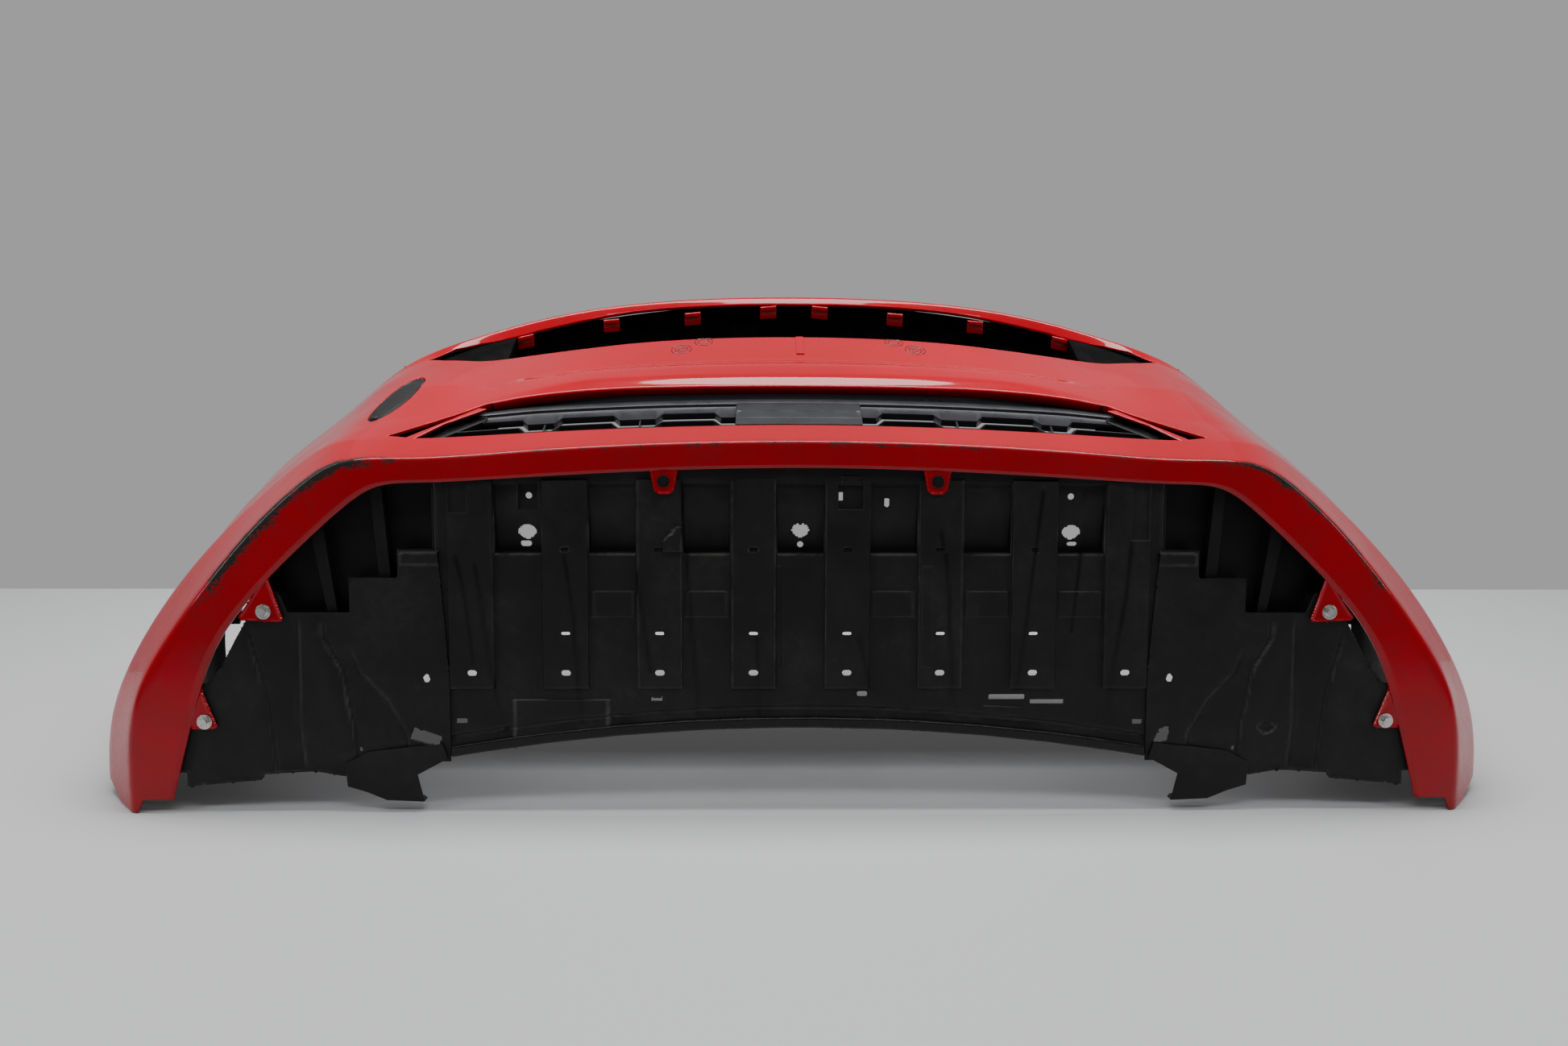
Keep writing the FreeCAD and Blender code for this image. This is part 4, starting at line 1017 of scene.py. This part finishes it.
def side_depth(side):
    def depth(x, t):
        outer = x * side
        level = np.full(x.shape, 5.0)
        for path, step in SIDE_FOLDS:
            away = side_of_path(outer, t, path)
            top, foot = path[0][1], path[-1][1]
            span = smooth_step(t, foot - 2, foot + 16) * (1 - smooth_step(t, top - 22, top))
            level = level - step * span * smooth_step(away, -1.6, 1.6) * (1 - smooth_step(away, 10, 40))
            level = level + 1.2 * span * np.exp(-(away / 2.2) ** 2)
        ledge = smooth_step(polygon_distance(outer, t, LEDGE), 0.0, 1.6)
        level = level - 1.6 * ledge
        hem = 1 - smooth_step(polygon_distance(outer, t, SIDE_OUTLINE), 1.5, 3.2)
        rear = 1 - smooth_step(t, 58, 66)
        dimple = np.hypot((x - DIMPLE[0]) / 11.0, (t - DIMPLE[1]) / 7.0)
        level = level + 2.6 * (1 - smooth_step(dimple, 0.75, 1.0))
        return level - 0.9 * hem * rear
    return depth


def build_side_tray(side, material):
    suffix = "left" if side > 0 else "right"
    window = [(436, 80), (470, 90), (464, 104), (430, 92)]
    if side > 0:
        window = [(430, 84), (448, 86), (450, 104), (438, 102)]
    vent = [(443, 159), (453, 159), (450, 169), (446, 169)]
    knots = SIDE_OUTLINE + window + vent
    xs = list(spread(419, 762, 2.6)) + [knot[0] for knot in knots]
    ts = list(spread(30, 322, 2.6)) + [knot[1] for knot in knots]
    holes = []
    for x, t, radius in SCREW_HOLES:
        holes.append(round_hole(side * x, t, radius))
        xs += list(spread(x - 5, x + 5, 1.3))
        ts += list(spread(t - 5, t + 5, 1.3))
    for outline in (window, vent):
        holes.append(cut_hole([(side * x, t) for x, t in outline]))
    border = cut_hole([(side * x, t) for x, t in SIDE_OUTLINE])
    pressed_sheet("side_tray_" + suffix, [side * x for x in xs], ts, side_depth(side),
                  lambda x, t: -border(x, t), holes, 2.4, material, "undertray_" + suffix)


# ---------------------------------------------------------------- tabs of the flange
TABS = {
    "centre_tab": ([(144, 424), (182, 424), (174.5, 390), (169, 385), (156, 385), (150.5, 390)],
                   (163, 401), 4.2),
    "upper_tab": ([(634, 290), (616, 236), (620, 232), (666, 234), (669, 238)], (638, 245), 3.4),
    "lower_tab": ([(716, 152), (698, 106), (702, 102), (728, 102), (732, 106)], (712, 112), 3.4),
}


def build_tabs(material):
    """Painted tabs with a raised border around their hole."""
    for name, (outline, hole, radius) in TABS.items():
        for side, suffix in ((1, "left"), (-1, "right")):
            edge = [(side * x, t) for x, t in outline]
            low, high = np.min(outline, axis=0), np.max(outline, axis=0)
            xs = side * spread(low[0] - 1, high[0] + 1, 1.2)
            ts = spread(low[1] - 1, high[1] + 1, 1.2)

            def depth(x, t, edge=edge):
                inside = polygon_distance(x, t, edge)
                rolled = 1.6 * (1 - smooth_step(inside, -0.2, 1.2))
                border = smooth_step(inside, 0.8, 1.6) * (1 - smooth_step(inside, 2.4, 3.4))
                return 0.9 + rolled - 0.8 * border

            piece = pressed_sheet(f"{name}_{suffix}", xs, ts, depth,
                                  lambda x, t, edge=edge: polygon_distance(x, t, edge),
                                  [round_hole(side * hole[0], hole[1], radius)], 2.0, material)
            set_attribute(piece.data, "dust", np.full(len(piece.data.vertices), 0.9))


# ---------------------------------------------------------------- lower grille
GRILLE_TILT = math.radians(19.0)
GRILLE_END = 412.0
GRILLE_FOOT, GRILLE_FRONT = 105.0, 445.0
SLAT_STEPS = [98, 172, 226, 300, 342]
SLAT_RUN = 9.0
UPPER_SLAT, LOWER_SLAT = (55.0, 69.0), (31.0, 45.0)
PANEL_HALF = 78.0
# front of the border above the grille
BORDER_OUT = [(0, 14.0), (275, 14.0), (343, 10.0), (412, 6.0)]


def grille_points(x, up, out):
    """Row-frame points of the curved grille face."""
    x, up, out = np.broadcast_arrays(np.asarray(x, float), up, out)
    drop = 18.0 * (x / 440.0) ** 2
    y = GRILLE_FOOT + up * math.cos(GRILLE_TILT) - out * math.sin(GRILLE_TILT)
    z = GRILLE_FRONT - drop + up * math.sin(GRILLE_TILT) + out * math.cos(GRILLE_TILT)
    return row_frame(np.stack([x, y, z], axis=-1))


def slat_level(x, levels):
    """Height of a stepped slat at x."""
    low, high = levels
    level = np.full(np.shape(x), low)
    sign = 1
    for step in SLAT_STEPS:
        level = level + sign * (high - low) * np.clip((np.abs(x) - step) / SLAT_RUN, 0, 1)
        sign = -sign
    return level


def bar_mesh(path, width, depth, front):
    """Four-sided bar along a path of (x, up) points on the grille face."""
    path = np.asarray(path, float)
    rings = []
    half, back = width / 2, front - depth
    for up, out in ((-half, front), (half, front), (half, back), (-half, back)):
        rings.append(grille_points(path[:, 0], path[:, 1] + up, out))
    rings.append(rings[0])
    rings = np.array(rings)
    faces = [list(f) for f in grid_faces(5, len(path))]
    count = len(path)
    faces.append([k * count for k in range(4)])
    faces.append([k * count + count - 1 for k in range(3, -1, -1)])
    return rings.reshape(-1, 3), faces


def grille_bar(name, paths, width, depth, front, material, node=None, edge=0.5):
    """One piece made of several bars, with rounded edges."""
    verts, faces = [], []
    for path in paths:
        points, quads = bar_mesh(path, width, depth, front)
        faces += [[v + len(verts) for v in face] for face in quads]
        verts += list(points)
    piece = new_piece(name, verts, faces, [material], slot="grille_plastic", smooth_angle=30)
    recalculate(piece.data)
    bevel(piece, edge)
    if node:
        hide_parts(node)


def recalculate(mesh):
    bm = bmesh.new()
    bm.from_mesh(mesh)
    bmesh.ops.recalc_face_normals(bm, faces=bm.faces)
    bm.to_mesh(mesh)
    bm.free()
    mesh.set_sharp_from_angle(angle=math.radians(30))


def build_hood(satin):
    """The grille's upper border with its folded face, down to the upper slat."""
    steps = [s * (step + d) for s in (1, -1) for step in SLAT_STEPS for d in (0, SLAT_RUN)]
    stations = np.unique(np.round(np.concatenate([np.linspace(-GRILLE_END, GRILLE_END, 140), steps]), 2))
    front = level_at(BORDER_OUT, stations)
    sag = smooth_step(np.abs(stations), 330, GRILLE_END)
    foot = slat_level(stations, UPPER_SLAT)
    profile = [(119 - 8 * sag, front), (116 - 8 * sag, front + 0.5), (112 - 8 * sag, front - 1.5),
               (110 - 8 * sag, front * 0.6), (108 - 8 * sag, 2.5), (106 - 8 * sag, 1.6), (99 - 6 * sag, 3.4),
               (92 - 5 * sag, 3.6), (88 - 4 * sag, 2.6), (86.6 - 4 * sag, -0.6), (84 - 4 * sag, -1.4),
               (foot + 4.0, -2.6), (foot + 1.4, -2.0), (foot + 0.8, -0.4), (foot - 0.4, -0.4),
               (foot - 0.8, -3.0), (foot - 0.8, -9.0)]
    rows = np.array([grille_points(stations, up, out) for up, out in profile])
    shell = sheet("grille_hood", rows, [satin], flip=True, slot="grille_plastic", smooth_angle=25)
    solidify(shell, 1.6)
    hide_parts("grille_blade")


def build_grille(satin, dark, deep):
    """Slats, uprights, lower border and corner plates of the lower grille."""
    slats, raised, uprights, corners, backs = [], [], [], [], []
    xs = np.unique(np.concatenate([np.linspace(PANEL_HALF, GRILLE_END + 20, 30),
                                   [step + d for step in SLAT_STEPS for d in (0, SLAT_RUN)]]))
    for side in (1, -1):
        slats.append([(side * x, slat_level(x, LOWER_SLAT)) for x in xs])
        raised.append([(x, up + 9) for x, up in slats[-1]])
        for x in (PANEL_HALF, 200, 320):
            middle = (float(slat_level(np.array(x), UPPER_SLAT)) + 20) / 2
            uprights.append([(side * (x - 1.1), middle), (side * (x + 1.1), middle)])
        corners.append([(side * 398, 84.0), (side * 440, 46.0), (side * 478, 2.0)])
        backs.append([(side * 385, 80.0), (side * 440, 58.0), (side * 520, 8.0)])
    border = [[(x, 3.0) for x in np.linspace(-GRILLE_END - 66, GRILLE_END + 66, 60)]]
    grille_bar("lower_slats", slats, 2.2, 14, 0.5, satin, node="lower_grille")
    grille_bar("inner_slats", raised, 1.6, 10, -5.0, dark)
    grille_bar("uprights", uprights, 42, 10, -1.5, satin)
    grille_bar("lower_border", border, 8, 14, 0.0, dark)
    grille_bar("corner_plates", corners, 22, 8, 1.0, dark, edge=1.2)
    grille_bar("corner_backs", backs, 74, 2.5, -12.0, deep)


def build_corner_walls(deep):
    """Dark walls that close the grille's corners against the skin above them."""
    edge = [(392, 190), (402, 190), (455, 150), (506, 112), (514, 106)]
    xs = np.linspace(392, 514, 30)
    up = (level_at(edge, xs) + 6 - GRILLE_FOOT) / math.cos(GRILLE_TILT)
    for side, suffix in ((1, "left"), (-1, "right")):
        rows = np.array([grille_points(side * xs, up, out) for out in (-16.0, -6.0, 4.0, 13.0)])
        wall = sheet("corner_wall_" + suffix, rows, [deep], flip=side > 0, slot="grille_plastic")
        solidify(wall, 1.5, offset=0.0)


def build_centre_panel(satin):
    """Smooth cover of the grille's middle with two shallow steps across it."""
    half = PANEL_HALF
    xs = np.concatenate([[-half - 1, -half], np.linspace(-half + 1, half - 1, 30), [half, half + 1]])
    most = np.full(len(xs), 2.6)
    most[[0, -1]] = -4.0
    most[[1, -2]] = 1.8
    profile = [(28, -1.5), (29.5, 0.2), (46, 0.4), (47.2, 1.0), (64, 1.2), (65.2, 1.9), (86, 2.0), (88, 0.4)]
    rows = np.array([grille_points(xs, up, np.minimum(most, out + 0.4) + np.minimum(most, 0))
                     for up, out in profile])
    panel = sheet("centre_panel", rows, [satin], slot="grille_plastic", smooth_angle=25)
    solidify(panel, 2.0, offset=1.0)
    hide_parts("grille_centre_panel")


# ---------------------------------------------------------------- details on the skin
# moulded rings: middle, and the radii of each one's rings
MARKS = [(-159, 326, (14, 8.68, 4)), (-129, 348, (12.5, 7.75)), (139, 349, (12.5, 7.75)),
         (167, 327, (14, 8.68, 4))]
# raised strip at the middle: x and height over the skin across it, and its ends
STRIP_PROFILE = [(-0.3, -0.5), (0.5, 0.9), (1.4, 1.1), (10.1, 1.1), (11.0, 0.9), (11.8, -0.5)]
STRIP_ENDS = (300.0, 356.0)


def on_skin(tree, x, y):
    """Skin point and outward normal in front of a place given by x and y in the car frame."""
    start = Vector(row_frame((x, y, 900.0)))
    place, normal, _, _ = tree.ray_cast(start, Vector((0, 0, -1)))
    if normal.z < 0:
        normal = -normal
    return place, normal


def tube(path, radius, sides=8):
    """Closed tube along points with normals, as vertices and faces."""
    verts, faces = [], []
    count = len(path)
    for k, (place, normal) in enumerate(path):
        along = (path[(k + 1) % count][0] - path[k - 1][0]).normalized()
        across = normal.cross(along).normalized()
        for j in range(sides):
            turn = 2 * math.pi * j / sides
            verts.append(place + (across * math.cos(turn) + normal * math.sin(turn)) * radius)
    for k in range(count):
        n = (k + 1) % count
        for j in range(sides):
            m = (j + 1) % sides
            faces.append([k * sides + j, k * sides + m, n * sides + m, n * sides + j])
    return verts, faces


def build_skin_marks(skin, paint, shaded):
    """Moulded rings of the plate panel and the shallow strip at its middle."""
    tree = row_tree(skin.data)
    turns = [2 * math.pi * k / 48 for k in range(48)]
    for number, (cx, cy, radii) in enumerate(MARKS):
        for part, reach in enumerate(radii):
            path = [on_skin(tree, cx + reach * math.cos(a), cy + reach * math.sin(a)) for a in turns]
            verts, faces = tube(path, 0.75 * MM)
            # the rings are drawn in darker paint as painted shadow lines
            new_piece(f"mark_{number}_{part}", verts, faces, [shaded], slot="paint", smooth_angle=80)
    rows = []
    for x, lift in STRIP_PROFILE:
        places = [on_skin(tree, x, y) for y in np.linspace(*STRIP_ENDS, 16)]
        rows.append([place + normal * lift * MM for place, normal in places])
    sheet("panel_strip", np.array(rows), [paint], flip=True, slot="paint", smooth_angle=40)


# ---------------------------------------------------------------- slot fittings
SLOT_LIP = [(0, 594), (300, 568), (462, 532), (568, 500)]
SLOT_LIP_RISE = [(0, 440), (300, 440), (462, 436), (500, 428), (532, 408)]
SLOT_FOOT_RISE = [(0, 361), (310, 365), (450, 377), (505, 392), (532, 408)]
HOOK_PLACES = (38, 150, 270, 397)


# section of a hook, as y and z from the lip
HOOK_SECTION = [(2.0, -24), (1.5, -14), (1.0, -8), (-0.2, -6.6), (-1.6, -6.3), (-2.5, -7.4), (-2.6, -10.0),
                (-1.8, -12.5)]


def build_hooks(paint):
    """Bent clips under the lip of the slot."""
    for number, x0 in enumerate([side * x for side in (-1, 1) for x in HOOK_PLACES]):
        fall = level_at(SLOT_LIP, abs(x0) + 10) - level_at(SLOT_LIP, abs(x0) - 10)
        slope = math.copysign(1, x0) * fall / 20
        top = level_at(SLOT_LIP_RISE, x0) + 3.5
        front = level_at(SLOT_LIP, x0) + 8.5
        rows = []
        for dy, dz in HOOK_SECTION:
            width = 12.0 if dy > -2 else 10.5
            across = (-width, -width * 0.4, width * 0.4, width)
            rows.append([(x0 + dx, top + dy, front + slope * dx + dz) for dx in across])
        hook = sheet(f"slot_hook_{number}", row_frame(rows), [paint], slot="paint", smooth_angle=60)
        solidify(hook, 1.6, offset=0.0)
        bevel(hook, 0.35)


LUG_SPREAD, LUG_HALF, LUG_BACK, LUG_FRONT, LUG_RISE = 150.0, 22.0, 559.0, 601.0, 494.0
LUG_HOLE_FRONT, LUG_HOLE_RADIUS = 574.0, 4.0
LUG_TURNS = 48


def build_lugs(plastic):
    """Flat lugs behind the top edge, each with the hole of an upper fixing."""
    for side, suffix in ((1, "left"), (-1, "right")):
        rows = []
        for share in (0.0, 0.15, 0.4, 0.75, 1.0):
            row = []
            for k in range(LUG_TURNS):
                turn = 2 * math.pi * k / LUG_TURNS
                dx, dz = math.cos(turn), math.sin(turn)
                far_x = LUG_HALF / max(abs(dx), 1e-6)
                length = LUG_FRONT - LUG_HOLE_FRONT if dz > 0 else LUG_HOLE_FRONT - LUG_BACK
                far = min(far_x, length / max(abs(dz), 1e-6))
                reach = LUG_HOLE_RADIUS + (far - LUG_HOLE_RADIUS) * share
                row.append((side * LUG_SPREAD + dx * reach, LUG_RISE, LUG_HOLE_FRONT + dz * reach))
            rows.append(row + row[:1])
        lug = sheet("upper_lug_" + suffix, row_frame(rows), [plastic], slot="paint")
        solidify(lug, 2.8, offset=1.0)
        bevel(lug, 0.3, angle=60)


# dark walls of painted shade at the slot's ends: from and to, how far they reach past the slot, and the flap's
# depth
WALL_FROM, WALL_TO, WALL_BELOW, WALL_ABOVE = 411, 572, 18, 12
WALL_FRONT, WALL_LEAN, FLAP_DEPTH = 5, 40, 60.0


def build_slot_ends(dark):
    """Dark walls behind the narrow ends of the slot, each with a flap that closes its inner edge; they stand
    in for the shade inside the skin, as painted shade.
    """
    xs = np.concatenate([[WALL_FROM], np.linspace(WALL_FROM, WALL_TO, 28)])
    front = level_at(SLOT_LIP, xs) + WALL_FRONT
    front[0] -= FLAP_DEPTH
    low = level_at(SLOT_FOOT_RISE, xs) - WALL_BELOW
    high = level_at(SLOT_LIP_RISE, xs) + WALL_ABOVE
    for side, suffix in ((1, "left"), (-1, "right")):
        rows = [np.stack([side * xs, low + (high - low) * share, front - WALL_LEAN * (1 - share)], axis=-1)
                for share in np.linspace(0, 1, 8)]
        wall = sheet("slot_end_" + suffix, row_frame(rows), [dark], flip=side < 0, slot="tray_plastic")
        solidify(wall, 2.0)


# ---------------------------------------------------------------- tow eye cover
# rings of the cap from its middle, and of the knob from its foot: share of the size, height over the skin
CAP_RINGS = [(0.0, 0.7), (0.25, 0.65), (0.5, 0.5), (0.7, 0.25), (0.8, 0.05), (0.83, -0.5), (0.86, -0.5),
             (0.885, 0.3), (0.93, 0.35), (0.97, 0.0), (0.99, -0.9), (0.995, -3.0)]
KNOB_RINGS = [(1.0, -1.0), (1.0, 0.8), (0.85, 2.0), (0.55, 2.7), (0.2, 3.0)]
KNOB_PLACE, KNOB_LENGTH, KNOB_WIDTH = -TOW_HALF_LENGTH * 0.90, 5.0, 6.5


def oval_rings(rings, around, half_p, half_q, place):
    """Vertices of oval rings, with place(p, q, height) giving each, and the quads between them."""
    verts, faces = [], []
    for share, height in rings:
        for k in range(around):
            turn = 2 * math.pi * k / around
            verts.append(place(half_p * share * math.cos(turn), half_q * share * math.sin(turn), height))
    for ring in range(len(rings) - 1):
        for k in range(around):
            n = (k + 1) % around
            a, b = ring * around, (ring + 1) * around
            faces.append([a + k, b + k, b + n, a + n])
    return verts, faces


def build_tow_cover(satin):
    """Crowned oval cap with a groove inside its rim and a small knob at its lower end."""
    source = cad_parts["tow_eye_cover"]
    tree = row_tree(source.data, source.matrix_world)
    centre = Vector(TOW_CENTRE)

    def in_plane(p, q, height):
        return centre + (TOW_LONG * p + TOW_SHORT * q + TOW_NORMAL * height) * MM

    def level(p, q):
        hit = tree.ray_cast(in_plane(p, q, 50.0), -TOW_NORMAL)[0]
        return (hit - centre).dot(TOW_NORMAL) / MM if hit else 0.0

    def on_cap(p, q, height):
        return in_plane(p, q, level(p * 0.985, q * 0.985) + height)

    verts, faces = oval_rings(CAP_RINGS, 72, TOW_HALF_LENGTH, TOW_HALF_WIDTH, on_cap)
    cap = new_piece("tow_cap", verts, faces, [satin], body="tow_cover",
                     slot="grille_plastic", smooth_angle=50)
    recalculate(cap.data)
    solidify(cap, 1.8)
    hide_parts("tow_eye_cover")
    base = level(KNOB_PLACE, 0.0)
    verts, faces = oval_rings(KNOB_RINGS, 24, KNOB_LENGTH, KNOB_WIDTH,
                              lambda p, q, height: in_plane(KNOB_PLACE + p, q, base + height))
    faces.append(list(range(len(verts) - 24, len(verts))))
    knob = new_piece("tow_knob", verts, faces, [satin], body="tow_cover",
                     slot="grille_plastic", smooth_angle=60)
    recalculate(knob.data)


def main():
    make_camera()
    make_room()
    paint = red_paint()
    inside = raw_plastic()
    tray = tray_plastic()
    satin = satin_plastic("grille_satin", (0.020, 0.021, 0.025), 0.26, 0.38)
    trim = satin_plastic("trim_black", (0.0045, 0.0045, 0.005), 0.46, 0.60)
    # near-black painted shade for the parts in shadow
    deep = shadow_black()
    rubber = satin_plastic("seal_rubber", (0.008, 0.008, 0.008), 0.22, 0.34)
    steel = zinc_steel()
    skin = build_skin(paint, inside)
    build_skin_marks(skin, paint, mark_shadow_paint())
    build_tabs(paint)
    build_centre_tray(tray)
    build_hood(satin)
    build_grille(satin, trim, deep)
    build_corner_walls(deep)
    build_centre_panel(satin)
    build_hooks(paint)
    build_slot_ends(deep)
    build_lugs(inside)
    build_tow_cover(trim)
    dressed("upper_carrier", deep, 1.0)
    dressed("tray_edge_seal", rubber, 2.4, segments=3)
    for side, suffix in ((1, "left"), (-1, "right")):
        build_side_tray(side, tray)
        for node, material, width in (("corner_trim_", paint, 0.8), ("corner_duct_", trim, 0.7),
                                      ("tray_foot_", tray, 0.9), ("side_retainer_", tray, 0.7),
                                      ("retainer_pin_", trim, 0.3)):
            dressed(node + suffix, material, width)
    for node, material, width in (("tray_bolts", steel, 0.4), ("bolt_washers", steel, 0.3),
                                  ("clip_nuts", steel, 0.3), ("retainer_bodies", trim, 0.6),
                                  ("tow_hinge_clip", trim, 0.3)):
        dressed(node, material, width)


main()
